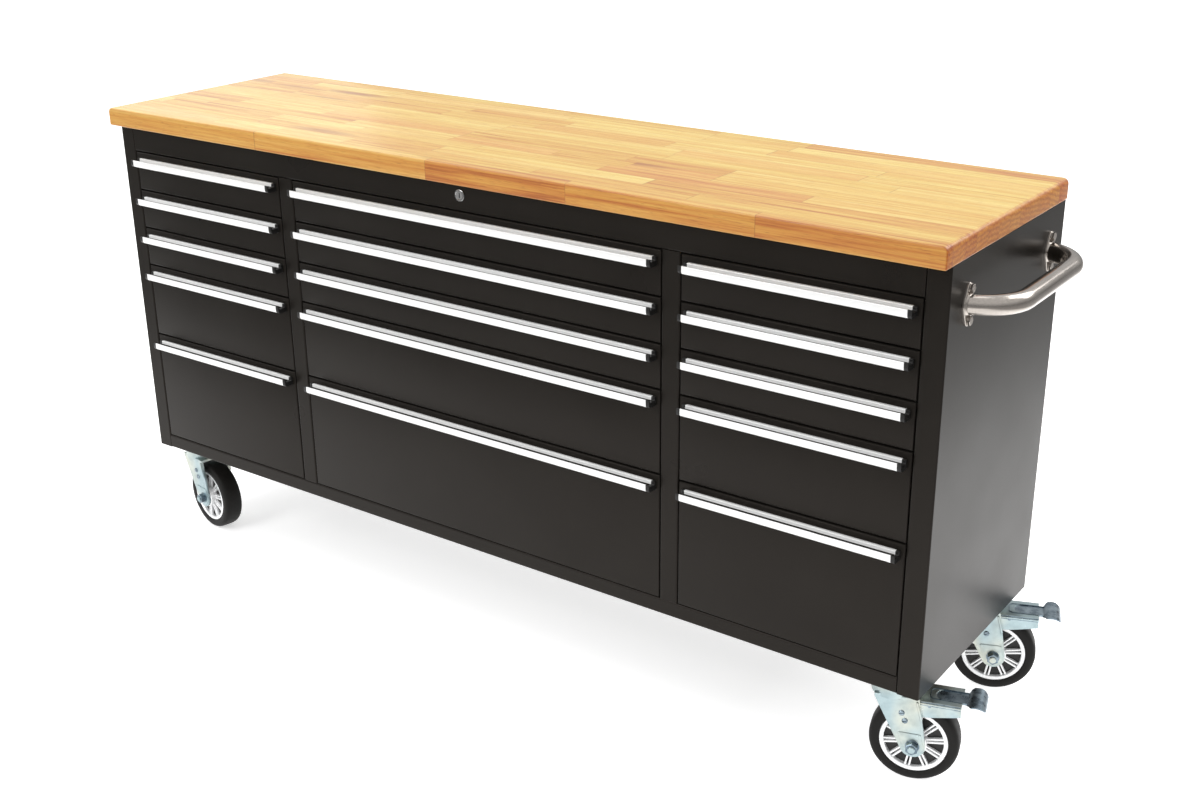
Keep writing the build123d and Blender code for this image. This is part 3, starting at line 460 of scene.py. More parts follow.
DRAWER_SHEET = 0.0015
FRONT_DEPTH, FRONT_ROUND = 0.018, 0.0024
SIDE_GAP, SLIDE_SPACE = 0.0015, 0.013
TRAY_RAISE, TRAY_DROP, TRAY_DEPTH = 0.008, 0.010, 0.385
SLIDE_SETBACK, SLIDE_LONG, SLIDE_TALL, SLIDE_DEEP = 0.022, 0.380, 0.024, 0.009
SLIDE_ABOVE_TRAY = 0.0215
PEG_RADIUS, PEG_HEAD_RADIUS, PEG_LENGTH, PEG_HEAD = 0.003, 0.006, 0.0165, 0.0025

drawer_nodes = [name for name in frame["nodes"] if name.startswith("drawer_")]


def face_towards(verts, direction):
    """The face of a block that looks most in a direction."""
    faces = {face for vert in verts for face in vert.link_faces}
    return max(faces, key=lambda face: face.calc_center_median().dot(Vector(direction)))


def hollowed(mesh, face, wall, depth):
    """Sinks a face into a block, leaving a wall around it."""
    normal = face.normal.copy()
    bmesh.ops.inset_region(mesh, faces=[face], thickness=wall)
    sunk = bmesh.ops.extrude_face_region(mesh, geom=[face])
    bmesh.ops.delete(mesh, geom=[face], context="FACES_KEEP_BOUNDARY")
    bmesh.ops.translate(mesh, verts=verts_in(sunk["geom"]), vec=-depth * normal)


def round_bar(mesh, start, end, radius, segments):
    """Adds a round bar between two points."""
    start, end = Vector(start), Vector(end)
    turn = (end - start).to_track_quat("Z", "Y").to_matrix().to_4x4()
    place = Matrix.Translation((start + end) / 2) @ turn
    bmesh.ops.create_cone(mesh, cap_ends=True, segments=segments, radius1=radius, radius2=radius,
                          depth=(end - start).length, matrix=place)


def drawer_front(low, high):
    mesh = bmesh.new()
    back = low.y + FRONT_DEPTH
    verts = block(mesh, low, (high.x, back, high.z))
    mesh.normal_update()
    hollowed(mesh, face_towards(verts, (0, 1, 0)), DRAWER_SHEET, FRONT_DEPTH - DRAWER_SHEET)
    outer = [edge for edge in mesh.edges if all(vert.co.y < low.y + 1e-5 for vert in edge.verts)]
    eased(mesh, outer, FRONT_ROUND, 4)
    return mesh


def drawer_tray(low, high):
    mesh = bmesh.new()
    left, right = low.x - SIDE_GAP + SLIDE_SPACE, high.x + SIDE_GAP - SLIDE_SPACE
    y0, base, top = low.y + FRONT_DEPTH, low.z + TRAY_RAISE, high.z - TRAY_DROP
    verts = block(mesh, (left, y0, base), (right, y0 + TRAY_DEPTH, top))
    mesh.normal_update()
    hollowed(mesh, face_towards(verts, (0, 0, 1)), DRAWER_SHEET, top - base - DRAWER_SHEET)
    rim = [edge for edge in mesh.edges if all(vert.co.z > top - 1e-5 for vert in edge.verts)]
    eased(mesh, rim, 0.0005, 2)
    return mesh


def drawer_slides(low, high):
    mesh = bmesh.new()
    y0 = low.y + SLIDE_SETBACK
    middle = low.z + TRAY_RAISE + SLIDE_ABOVE_TRAY
    for edge, inward in ((low.x - SIDE_GAP, 1), (high.x + SIDE_GAP, -1)):
        far = edge + inward * SLIDE_SPACE
        near = far - inward * SLIDE_DEEP
        verts = block(mesh, (min(near, far), y0, middle - SLIDE_TALL / 2),
                      (max(near, far), y0 + SLIDE_LONG, middle + SLIDE_TALL / 2))
        mesh.normal_update()
        hollowed(mesh, face_towards(verts, (-inward, 0, 0)), DRAWER_SHEET, SLIDE_DEEP - DRAWER_SHEET)
    rear, peg_z = low.y + FRONT_DEPTH + TRAY_DEPTH, (low.z + high.z) / 2
    peg_x = (low.x + high.x) / 2
    head = rear + PEG_LENGTH - PEG_HEAD
    round_bar(mesh, (peg_x, rear, peg_z), (peg_x, head, peg_z), PEG_RADIUS, 16)
    round_bar(mesh, (peg_x, head, peg_z), (peg_x, head + PEG_HEAD, peg_z), PEG_HEAD_RADIUS, 24)
    return mesh


for node in drawer_nodes:
    low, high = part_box(node)
    key = node.removeprefix("drawer_")
    front = show(f"front_{key}", drawer_front(low, high), node, powder_coat)
    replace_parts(front, node)
    show(f"tray_{key}", drawer_tray(low, high), node, powder_coat, smooth=False)
    show(f"slides_{key}", drawer_slides(low, high), node, zinc_sheet, smooth=False)


# Drawer pulls: a satin-anodised aluminium extrusion nearly as wide as the drawer front it is fixed
# to. Its flat back flange and rounded lip make a finger channel, and a black plastic cap closes
# each end. A thin black strip low in the channel is painted shade, standing for the channel's shadow.

PULL_CAP, PULL_FLANGE, PULL_WALL, LIP_DROP = 0.007, 0.005, 0.0025, 0.0008
CAP_NOTCH, CAP_ARRIS = 0.0065, 0.0008
# Sizes of the thin black strip that is painted shade low in each pull's finger channel.
SHADE_STRIP_THICK, SHADE_STRIP_TOP, SHADE_STRIP_SUNK = 0.0006, 0.0063, 0.0003
BAR_ROUNDS = {2: 0.0062, 3: 0.0011, 4: 0.0011, 5: 0.0035, 6: 0.0025, 7: 0.0011}
CAP_ROUNDS = {2: 0.0062, 3: 0.0009, 4: 0.0009, 5: 0.0025, 6: 0.0025, 7: 0.0011}

brush_group, given, result = new_group(
    "brush_marks", [("Vector", "Vector"), ("Dark", "Color"), ("Light", "Color")],
    [("Color", "Color"), ("Roughness", "Float")])
lines = noise(brush_group, given["Vector"], 1.0, 3.0, 0.6)
smear = noise(brush_group, here(brush_group), 22.0, 3.0)
streaks = graded(brush_group, lines, 0.3, 0.7)
brush_group.links.new(mixed(brush_group, streaks, given["Dark"], given["Light"]), result["Color"])
worn = maths(brush_group, "ADD", graded(brush_group, lines, 0.3, 0.7, 0.15, 0.23),
             graded(brush_group, smear, 0.4, 0.7, 0.0, 0.04))
brush_group.links.new(worn, result["Roughness"])


def brushed_metal(name, along, dark, light, metallic=1.0):
    """Metal brushed in one direction; along holds how fine the marks are on each axis."""
    material, tree, shader = new_finish(name, Metallic=metallic)
    marks = added(tree, "ShaderNodeGroup", {
        "Vector": moved(tree, here(tree), "MULTIPLY", along),
        "Dark": (*dark, 1), "Light": (*light, 1)}, node_tree=brush_group).outputs
    wired(shader, Base_Color=marks["Color"], Roughness=marks["Roughness"])
    return material


anodised = brushed_metal("anodised_aluminium", (5.0, 1500.0, 1500.0), (0.93, 0.93, 0.925),
                         (0.985, 0.985, 0.98), metallic=0.15)

black_plastic, tree, shader = new_finish("black_plastic", IOR=1.48, Specular_IOR_Level=0.3)
grain = noise(tree, here(tree), 900.0, 2.0)
colour = mixed(tree, graded(tree, grain, 0.4, 0.7), (0.010, 0.010, 0.010, 1), (0.022, 0.021, 0.020, 1))
colour, dust = dusted(tree, colour, 0.05)
wired(shader, Base_Color=colour, Roughness=graded(tree, grain, 0.3, 0.7, 0.30, 0.42),
      Normal=bumped(tree, grain, 0.10, 0.0002))


def extruded(section, rounds, start, end):
    """Bar along X from a section of Y and Z; rounds gives a corner's radius by its number."""
    mesh = bmesh.new()
    verts = [mesh.verts.new((start, y, z)) for y, z in section]
    mesh.faces.new(verts)
    for number, radius in rounds.items():
        bmesh.ops.bevel(mesh, geom=[verts[number]], offset=radius, offset_type="OFFSET", segments=6,
                        profile=0.5, affect="VERTICES", material=-1)
    grown = bmesh.ops.extrude_face_region(mesh, geom=mesh.faces[:])
    bmesh.ops.translate(mesh, verts=verts_in(grown["geom"]), vec=(end - start, 0, 0))
    return mesh


def joined(mesh, part, place=None):
    """Adds a part built on its own to a mesh, moved by a matrix."""
    if place is not None:
        bmesh.ops.transform(part, matrix=place, verts=part.verts[:])
    data = bpy.data.meshes.new("part")
    part.to_mesh(data)
    part.free()
    mesh.from_mesh(data)
    bpy.data.meshes.remove(data)


for node in drawer_nodes:
    key = node.removeprefix("drawer_")
    low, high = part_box(f"pull_{key}")
    face, lip, top, base = high.y, low.y, high.z, low.z
    inner_lip, inner_base, inner_back = lip + PULL_WALL, base + PULL_WALL, face - PULL_FLANGE
    outside = [(face, top), (face, base), (lip, base), (lip, top - LIP_DROP), (inner_lip, top - LIP_DROP)]
    bar = extruded([*outside, (inner_lip, inner_base), (inner_back, inner_base), (inner_back, top)],
                   BAR_ROUNDS, low.x + PULL_CAP, high.x - PULL_CAP)
    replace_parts(show(f"pull_bar_{key}", bar, node, anodised), f"pull_{key}")
    # Painted shade: a thin black strip on the flange's inner face stands for the shadow deep in the finger
    # channel.
    channel_shade_strip = bmesh.new()
    verts = block(channel_shade_strip, (low.x + PULL_CAP - 0.0005, inner_back - SHADE_STRIP_THICK, inner_base - SHADE_STRIP_SUNK),
                  (high.x - PULL_CAP + 0.0005, inner_back + SHADE_STRIP_SUNK, top - SHADE_STRIP_TOP))
    eased(channel_shade_strip, edges_of(verts), 0.00015, 1)
    show(f"pull_channel_shade_{key}", channel_shade_strip, node, powder_coat, smooth=False)
    caps = bmesh.new()
    sill = top - CAP_NOTCH
    for x in (low.x, high.x - PULL_CAP):
        cap = extruded([*outside, (inner_lip + 0.001, sill), (inner_back, sill), (inner_back, top)],
                       CAP_ROUNDS, x, x + PULL_CAP)
        outer_x = x if x == low.x else x + PULL_CAP
        rim = [edge for edge in cap.edges if all(abs(vert.co.x - outer_x) < 1e-6 for vert in edge.verts)]
        eased(cap, rim, CAP_ARRIS, 2)
        joined(caps, cap)
    show(f"pull_caps_{key}", caps, node, black_plastic)


# Lock: a chromed bezel pressed into the top rail around a turning cylinder with a key slot. The
# bezel is turned with a groove about the cylinder.

BEZEL_RADIUS, BEZEL_FACE, BORE_RADIUS, SLEEVE_RADIUS = 0.0110, 0.0025, 0.0078, 0.009


def turned(section, segments):
    """Ring about the Z axis from a closed section of radius and height."""
    mesh = bmesh.new()
    verts = [mesh.verts.new((radius, 0, height)) for radius, height in section]
    edges = [mesh.edges.new(pair) for pair in zip(verts, verts[1:] + verts[:1])]
    bmesh.ops.spin(mesh, geom=verts + edges, cent=(0, 0, 0), axis=(0, 0, 1), angle=2 * math.pi,
                   steps=segments, use_merge=True, use_duplicate=False)
    return mesh


chrome, tree, shader = new_finish("chrome", Metallic=1.0)
haze = noise(tree, here(tree), 260.0, 2.0)
wired(shader, Base_Color=mixed(tree, haze, (0.36, 0.36, 0.36, 1), (0.52, 0.52, 0.52, 1)),
      Roughness=graded(tree, haze, 0.3, 0.7, 0.14, 0.26))
coat_node("lock_barrel", chrome)
lock_low, lock_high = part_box("lock_housing")
lock_middle = (lock_low + lock_high) / 2
bezel = turned([(BORE_RADIUS, 0.0), (BORE_RADIUS, -BEZEL_FACE + 0.0006), (0.0084, -BEZEL_FACE),
                (0.0092, -BEZEL_FACE), (0.0094, -BEZEL_FACE + 0.0007), (0.0098, -BEZEL_FACE + 0.0007),
                (0.0100, -BEZEL_FACE), (0.0106, -BEZEL_FACE + 0.0003), (BEZEL_RADIUS, -0.0010),
                (BEZEL_RADIUS, 0.0)], 64)
sleeve_end = lock_high.y - lock_low.y - BEZEL_FACE
joined(bezel, turned([(BORE_RADIUS, 0.0), (SLEEVE_RADIUS, 0.0), (SLEEVE_RADIUS, sleeve_end),
                      (BORE_RADIUS, sleeve_end)], 64))
place = Matrix.Translation((lock_middle.x, lock_low.y + BEZEL_FACE, lock_middle.z))
place = place @ Matrix.Rotation(math.radians(-90), 4, "X")
bmesh.ops.transform(bezel, matrix=place, verts=bezel.verts[:])
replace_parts(show("lock_bezel", bezel, "bench", chrome), "lock_housing")


# Side handle: a stainless tube bent at both ends and welded to two oval flanges, which four hex
# bolts hold to the right side panel. It is brushed along its length.

HANDLE_TUBE, HANDLE_TOE_IN, HANDLE_BEND = 0.016, 18.0, 0.074
HANDLE_SPACING, HANDLE_BOLT_SPACING, FLANGE_THICK = 0.330, 0.050, 0.005
FLANGE_MIDDLE, FLANGE_EAR, FLANGE_EASE = 0.019, 0.009, 0.0012
WELD = ((0.0150, 0.0), (0.0192, 0.0), (0.0180, 0.0016), (0.0163, 0.0030), (0.0150, 0.0030))
WELD_SHIFT, WELD_SUNK = 0.001, 0.0002


def plate_over(rounds, thick, ease, segments):
    """Flat plate on the XY plane, stretched over discs of a given X, Y and radius, edges eased."""
    mesh = bmesh.new()
    for x, y, radius in rounds:
        bmesh.ops.create_cone(mesh, cap_ends=True, segments=segments, radius1=radius, radius2=radius,
                              depth=thick, matrix=Matrix.Translation((x, y, thick / 2)))
    bmesh.ops.delete(mesh, geom=[*mesh.edges, *mesh.faces], context="EDGES_FACES")
    hull = bmesh.ops.convex_hull(mesh, input=mesh.verts[:])
    spare = {*verts_in(hull["geom_interior"]), *verts_in(hull["geom_unused"])}
    bmesh.ops.delete(mesh, geom=list(spare), context="VERTS")
    bmesh.ops.dissolve_limit(mesh, angle_limit=math.radians(0.5), verts=mesh.verts[:],
                             edges=mesh.edges[:])
    top = [edge for edge in mesh.edges if all(vert.co.z > thick - 1e-6 for vert in edge.verts)]
    eased(mesh, top, ease, 3)
    return mesh


def edges_in(items):
    return [item for item in items if isinstance(item, bmesh.types.BMEdge)]


stainless = brushed_metal("brushed_stainless", (500.0, 12.0, 500.0), (0.37, 0.335, 0.305),
                          (0.44, 0.405, 0.37))
handle_low, handle_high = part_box("side_handle")
handle_middle = (handle_low + handle_high) / 2
face_x = handle_low.x
reach = handle_high.x - HANDLE_TUBE - face_x
toe = math.tan(math.radians(HANDLE_TOE_IN)) * reach
swing = math.radians(90 - HANDLE_TOE_IN)
setback = HANDLE_BEND * math.tan(swing / 2)
lead = Vector((math.cos(math.radians(HANDLE_TOE_IN)), math.sin(math.radians(HANDLE_TOE_IN)), 0))
start = Vector((face_x, handle_middle.y - HANDLE_SPACING / 2, handle_middle.z))
corner = start + Vector((reach, toe, 0))
tube = bmesh.new()
place = Matrix.Translation(start) @ lead.to_track_quat("Z", "Y").to_matrix().to_4x4()
ring = bmesh.ops.create_circle(tube, cap_ends=False, segments=48, radius=HANDLE_TUBE, matrix=place)["verts"]
run = edges_of(ring)


def stretched(mesh, edges, by):
    """Draws a ring of edges out along a vector; returns the new ring."""
    grown = bmesh.ops.extrude_edge_only(mesh, edges=edges)["geom"]
    bmesh.ops.translate(mesh, verts=verts_in(grown), vec=by)
    return edges_in(grown)


def bent(mesh, edges, centre, angle):
    """Turns a ring of edges about an upright axis; returns the new ring."""
    geom = [*edges, *{vert for edge in edges for vert in edge.verts}]
    last = bmesh.ops.spin(mesh, geom=geom, cent=centre, axis=(0, 0, 1), angle=angle, steps=18,
                          use_merge=False, use_duplicate=False)["geom_last"]
    return edges_in(last)


straight = (corner - start).length - setback
run = stretched(tube, run, lead * straight)
inward = Vector((-lead.y, lead.x, 0))
run = bent(tube, run, start + lead * straight + inward * HANDLE_BEND, swing)
middle_run = HANDLE_SPACING - 2 * toe - 2 * setback
run = stretched(tube, run, Vector((0, middle_run, 0)))
mirrored_lead = Vector((-lead.x, lead.y, 0))
run = bent(tube, run, corner + Vector((-HANDLE_BEND, setback + middle_run, 0)), swing)
stretched(tube, run, mirrored_lead * straight)
bmesh.ops.bisect_plane(tube, geom=[*tube.verts, *tube.edges, *tube.faces], clear_inner=True,
                       plane_co=(face_x + FLANGE_THICK * 0.4, 0, 0), plane_no=(1, 0, 0))
bmesh.ops.holes_fill(tube, edges=[edge for edge in tube.edges if edge.is_boundary])
along_x = Matrix.Rotation(math.radians(90), 4, "Y")
weld_x = face_x + FLANGE_THICK - WELD_SUNK
for side in (-1, 1):
    y = handle_middle.y + side * HANDLE_SPACING / 2
    flange = plate_over([(0, 0, FLANGE_MIDDLE), (0, -HANDLE_BOLT_SPACING / 2, FLANGE_EAR),
                         (0, HANDLE_BOLT_SPACING / 2, FLANGE_EAR)], FLANGE_THICK, FLANGE_EASE, 40)
    upright = Matrix(((0, 0, 1, face_x), (1, 0, 0, y), (0, 1, 0, handle_middle.z), (0, 0, 0, 1)))
    joined(tube, flange, upright)
    weld_place = Matrix.Translation((weld_x, y - side * WELD_SHIFT, handle_middle.z))
    joined(tube, turned(WELD, 40), weld_place @ along_x)
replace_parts(show("handle_bar", tube, "bench", stainless), "side_handle")


# Bolts: hex bolts with chamfered heads and plain washers, and nuts inside the cabinet. Stainless
# ones hold the side handle, and zinc-plated ones hold the castor plates to the bottom pan.

HEAD_ACROSS, HEAD_TALL, HEAD_CHAMFER, NUT_TALL = 0.013, 0.0053, 0.0008, 0.0065
WASHER_RADIUS, WASHER_THICK, WASHER_ARRIS, SHANK_RADIUS = 0.0080, 0.0012, 0.0003, 0.004
PLATE_BOLTS_X, PLATE_BOLTS_Y, PLATE_THICK, PAN_SHEET = 0.080, 0.060, 0.005, 0.0015

zinc_plate, tree, shader = new_finish("bright_zinc_plate", Metallic=1.0)
mottle = noise(tree, here(tree), 55.0, 4.0, 0.6)
tint = noise(tree, here(tree), 16.0, 1.0)
colour = mixed(tree, graded(tree, tint, 0.4, 0.62), (0.35, 0.44, 0.46, 1), (0.50, 0.52, 0.46, 1))
colour = mixed(tree, graded(tree, mottle, 0.45, 0.75, 0.0, 0.35), colour, (0.18, 0.24, 0.26, 1))
colour, dust = dusted(tree, colour, 0.10)
wired(shader, Base_Color=colour, Roughness=graded(tree, mottle, 0.3, 0.7, 0.26, 0.42),
      Normal=added(tree, "ShaderNodeBevel", {"Radius": FOLD_RADIUS}, samples=4).outputs["Normal"])

blue_zinc, tree, shader = new_finish("dark_blue_zinc", Metallic=1.0)
stain = noise(tree, here(tree), 70.0, 3.0)
colour = mixed(tree, graded(tree, stain, 0.35, 0.65), (0.11, 0.15, 0.185, 1), (0.27, 0.33, 0.37, 1))
colour, dust = dusted(tree, colour, 0.12)
wired(shader, Base_Color=colour, Roughness=graded(tree, stain, 0.3, 0.7, 0.22, 0.36))


def hex_head(mesh, place, tall=HEAD_TALL, across=HEAD_ACROSS, washer=True):
    """Hexagonal head or nut with a chamfered top, on a washer, standing along a matrix's Z."""
    base = WASHER_THICK if washer else 0.0
    head = bmesh.new()
    corner_radius = across / math.sqrt(3)
    flats_end = tall - HEAD_CHAMFER
    bmesh.ops.create_cone(head, cap_ends=True, segments=6, radius1=corner_radius, radius2=corner_radius,
                          depth=flats_end - base, matrix=Matrix.Translation((0, 0, (flats_end + base) / 2)))
    head.normal_update()
    crown = max(head.faces, key=lambda face: face.calc_center_median().z)
    bmesh.ops.inset_region(head, faces=[crown], thickness=0.0011, depth=0.0)
    bmesh.ops.translate(head, verts=crown.verts[:], vec=(0, 0, HEAD_CHAMFER))
    joined(mesh, head, place)
    if washer:
        joined(mesh, turned([(0.0, 0.0), (WASHER_RADIUS, 0.0), (WASHER_RADIUS, WASHER_THICK - WASHER_ARRIS),
                             (WASHER_RADIUS - WASHER_ARRIS, WASHER_THICK), (0.0, WASHER_THICK)], 32), place)


bolts = bmesh.new()
downward = Matrix.Rotation(math.radians(180), 4, "X")
panel_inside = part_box("right_side_panel")[1].x - PAN_SHEET
for dy in (-HANDLE_SPACING / 2, HANDLE_SPACING / 2):
    for dz in (-HANDLE_BOLT_SPACING / 2, HANDLE_BOLT_SPACING / 2):
        y, z = handle_middle.y + dy, handle_middle.z + dz
        hex_head(bolts, Matrix.Translation((face_x + FLANGE_THICK, y, z)) @ along_x)
        hex_head(bolts, Matrix.Translation((panel_inside, y, z)) @ along_x.inverted(), NUT_TALL)
        round_bar(bolts, (panel_inside - 0.010, y, z), (face_x + FLANGE_THICK, y, z), SHANK_RADIUS, 20)
show("handle_bolts", bolts, "bench", stainless)


def joint_places(kind):
    """Where the joints of a kind are, by castor."""
    return {joint["name"].removeprefix(kind): Vector(joint["pos_m"])
            for joint in frame["joints"] if joint["name"].startswith(kind)}


bolts = bmesh.new()
pan_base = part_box("castor_plates")[1].z
swivels = joint_places("swivel_")
for pin in swivels.values():
    for dx in (-PLATE_BOLTS_X / 2, PLATE_BOLTS_X / 2):
        for dy in (-PLATE_BOLTS_Y / 2, PLATE_BOLTS_Y / 2):
            x, y = pin.x + dx, pin.y + dy
            hex_head(bolts, Matrix.Translation((x, y, pan_base - PLATE_THICK)) @ downward)
            hex_head(bolts, Matrix.Translation((x, y, pan_base + PAN_SHEET)), NUT_TALL)
            round_bar(bolts, (x, y, pan_base - PLATE_THICK), (x, y, pan_base + 0.010), SHANK_RADIUS, 20)
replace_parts(show("castor_bolts", bolts, "bench", zinc_plate), "hex_bolts")


# Castors: plates and forks are pressed steel with a bright zinc plate, while rivets, washers, nuts
# and brake pedals have a darker blue one. Each fork leg has a pressed step and two slotted rivets,
# and a braked castor's hood has a lip on each side, with a dark strip below and above it that is
# painted shade for the shadowed grooves beside the lip.

TRAIL, WHEEL_RADIUS, LEG_FACE = 0.040, 0.075, 0.033
LEG_STEP = ((TRAIL, WHEEL_RADIUS, 0.0178), (0.018, 0.096, 0.003), (0.050, 0.096, 0.003))
LEG_RIDGE = ((0.043, 0.158, 0.0022), (0.051, 0.127, 0.0022))
AXLE_END = ((0.0, 0.008), (0.0062, 0.008), (0.0062, 0.0125), (0.0050, 0.0137), (0.0, 0.0140))
AXLE_WASHER = ((0.0, 0.0), (0.0118, 0.0), (0.0118, 0.0014), (0.0112, 0.0018), (0.0, 0.0018))
AXLE_NUT_TALL, AXLE_NUT_ACROSS = 0.0098, 0.019
RIVETS = ((0.019, 0.135), (0.025, 0.121))
RIVET_HEAD = ((0.0, -0.0005), (0.0052, -0.0005), (0.0050, 0.0008), (0.0038, 0.0018), (0.0, 0.0022))
RIVET_SLOT_HALF, RIVET_SLOT_DEEP = 0.0008, 0.0012
PEDAL_STEP, PEDAL_END, PEDAL_HALF, PEDAL_CORNER, PEDAL_SHEET = 0.121, 0.153, 0.031, 0.014, 0.0022
PEDAL_CURVE = ((-0.002, 0.1590, 0.017), (0.001, 0.1615, 0.022), (0.003, 0.1632, 0.027),
               (0.007, 0.1648, PEDAL_HALF), (0.013, 0.1656, PEDAL_HALF), (0.018, 0.1655, PEDAL_HALF),
               (0.022, 0.1642, PEDAL_HALF), (0.0255, 0.1620, PEDAL_HALF), (0.0285, 0.1590, PEDAL_HALF),
               (0.0303, 0.1562, PEDAL_HALF))
TONGUE_START, TONGUE_HALF, TONGUE_TOP, TONGUE_CORNER = 0.060, 0.017, 0.1615, 0.009
TONGUE_HOLLOW = 0.0016
HOOD_FACE, HOOD_START, HOOD_END = 0.029, 0.046, 0.1126
# The first and last strips are painted shade: dark strips standing for the shadowed grooves below and above
# each hood lip.
HOOD_STRIPS = (("hood_under_lip_shade", 0.1532, 0.1550, 0.0006), ("hood_lips", 0.1550, 0.1586, 0.0018),
               ("hood_shadow_gaps", 0.1586, 0.1602, 0.0006))

coat_node("castor_plates", zinc_plate)
wheels = joint_places("wheel_spin_")
castors = {}
for name, pin in swivels.items():
    heading = math.atan2(wheels[name].y - pin.y, wheels[name].x - pin.x)
    castors[name] = Matrix.Translation((pin.x, pin.y, 0)) @ Matrix.Rotation(heading, 4, "Z")


axle_place = Matrix.Translation((TRAIL, WHEEL_RADIUS, 0))


def leg_side(side, height=0.0):
    """Matrix from a flat drawing of a leg, X along the trail and Y up, to its outer face."""
    return Matrix(((1, 0, 0, 0), (0, 0, side, side * (LEG_FACE + height)), (0, 1, 0, 0), (0, 0, 0, 1)))


def fork_hardware():
    """Axle washers and slotted rivets on both legs, and the nut on the axle."""
    mesh = bmesh.new()
    for side in (-1, 1):
        joined(mesh, turned(AXLE_WASHER, 40), leg_side(side, 0.0010) @ axle_place)
        for s, z in RIVETS:
            head = turned(RIVET_HEAD, 24)
            slot_turn = Matrix.Translation((s, z, 0)) @ Matrix.Rotation(math.radians(20), 4, "Z")
            cut_driver_slot(head)
            joined(mesh, head, leg_side(side) @ slot_turn)
    hex_head(mesh, leg_side(-1, 0.0020) @ axle_place, AXLE_NUT_TALL, AXLE_NUT_ACROSS, washer=False)
    return mesh


def fork_pressings():
    """Pressed step about the axle and ridge below the hood on each leg, and the axle's domed end."""
    mesh = bmesh.new()
    for side in (-1, 1):
        joined(mesh, plate_over(LEG_STEP, 0.0012, 0.0010, 40), leg_side(side, -0.0001))
        joined(mesh, plate_over(LEG_RIDGE, 0.0024, 0.0018, 16), leg_side(side, -0.0001))
    joined(mesh, turned(AXLE_END, 28), leg_side(-1, 0.0008) @ axle_place)
    return mesh


def hood_strip(low, high, proud):
    """Strip along both sides of a braked castor's hood, between two heights and a little proud."""
    mesh = bmesh.new()
    for side in (-1, 1):
        strip = bmesh.new()
        inner, outer = side * (HOOD_FACE - 0.0006), side * (HOOD_FACE + proud)
        verts = block(strip, (HOOD_START, min(inner, outer), low), (HOOD_END, max(inner, outer), high))
        outer_edges = [edge for edge in edges_of(verts)
                       if all(abs(vert.co.y) > HOOD_FACE for vert in edge.verts)]
        eased(strip, outer_edges, proud * 0.6, 3)
        joined(mesh, strip)
    return mesh


def cut_driver_slot(head):
    """Sinks a slot across a rivet's head."""
    for y in (-RIVET_SLOT_HALF, RIVET_SLOT_HALF):
        bmesh.ops.bisect_plane(head, geom=[*head.verts, *head.edges, *head.faces], plane_co=(0, y, 0),
                               plane_no=(0, 1, 0))
    bar = [face for face in head.faces if abs(face.calc_center_median().y) < RIVET_SLOT_HALF
           and face.calc_center_median().z > 0.0009]
    sunk = bmesh.ops.extrude_face_region(head, geom=bar)
    bmesh.ops.delete(head, geom=bar, context="FACES_KEEP_BOUNDARY")
    bmesh.ops.translate(head, verts=verts_in(sunk["geom"]), vec=(0, 0, -RIVET_SLOT_DEEP))


def pedal_shape():
    """Tongue with turned-up sides, and a rolled foot plate with rounded corners."""
    mesh = bmesh.new()
    tongue = bmesh.new()
    verts = block(tongue, (TONGUE_START, -TONGUE_HALF, TONGUE_TOP - 0.0030),
                  (PEDAL_STEP + 0.004, TONGUE_HALF, TONGUE_TOP + 0.0004))
    tongue.normal_update()
    corners = [edge for edge in edges_of(verts) if abs(edge.verts[0].co.z - edge.verts[1].co.z) > 1e-6
               and all(vert.co.x < TONGUE_START + 1e-6 for vert in edge.verts)]
    eased(tongue, corners, TONGUE_CORNER, 6)
    tongue.normal_update()
    crown = max(tongue.faces, key=lambda face: face.calc_center_median().z + face.calc_area())
    hollowed(tongue, crown, TONGUE_HOLLOW, TONGUE_HOLLOW)
    joined(mesh, tongue)
    strip = bmesh.new()
    (past, height, width), *others = PEDAL_CURVE
    line = [strip.verts.new((PEDAL_STEP + past, t * width / 4, height)) for t in range(-4, 5)]
    edges = [strip.edges.new(pair) for pair in zip(line, line[1:])]
    for past, height, half in others:
        beyond_corner = max(0.0, PEDAL_STEP + past - (PEDAL_END - PEDAL_CORNER))
        half -= PEDAL_CORNER - math.sqrt(PEDAL_CORNER ** 2 - beyond_corner ** 2)
        grown = bmesh.ops.extrude_edge_only(strip, edges=edges)["geom"]
        new_verts = verts_in(grown)
        bmesh.ops.scale(strip, verts=new_verts, vec=(1, half / width, 1))
        at = new_verts[0].co
        bmesh.ops.translate(strip, verts=new_verts, vec=(PEDAL_STEP + past - at.x, 0, height - at.z))
        edges = edges_in(grown)
        width = half
    bmesh.ops.recalc_face_normals(strip, faces=strip.faces[:])
    bmesh.ops.solidify(strip, geom=strip.faces[:], thickness=PEDAL_SHEET)
    joined(mesh, strip)
    for t in (-TONGUE_HALF - 0.0006, TONGUE_HALF + 0.0006):
        round_bar(mesh, (0.062, min(t, 0) * 1.7, 0.153), (0.062, max(t, 0) * 1.7, 0.153), 0.0024, 16)
    return mesh


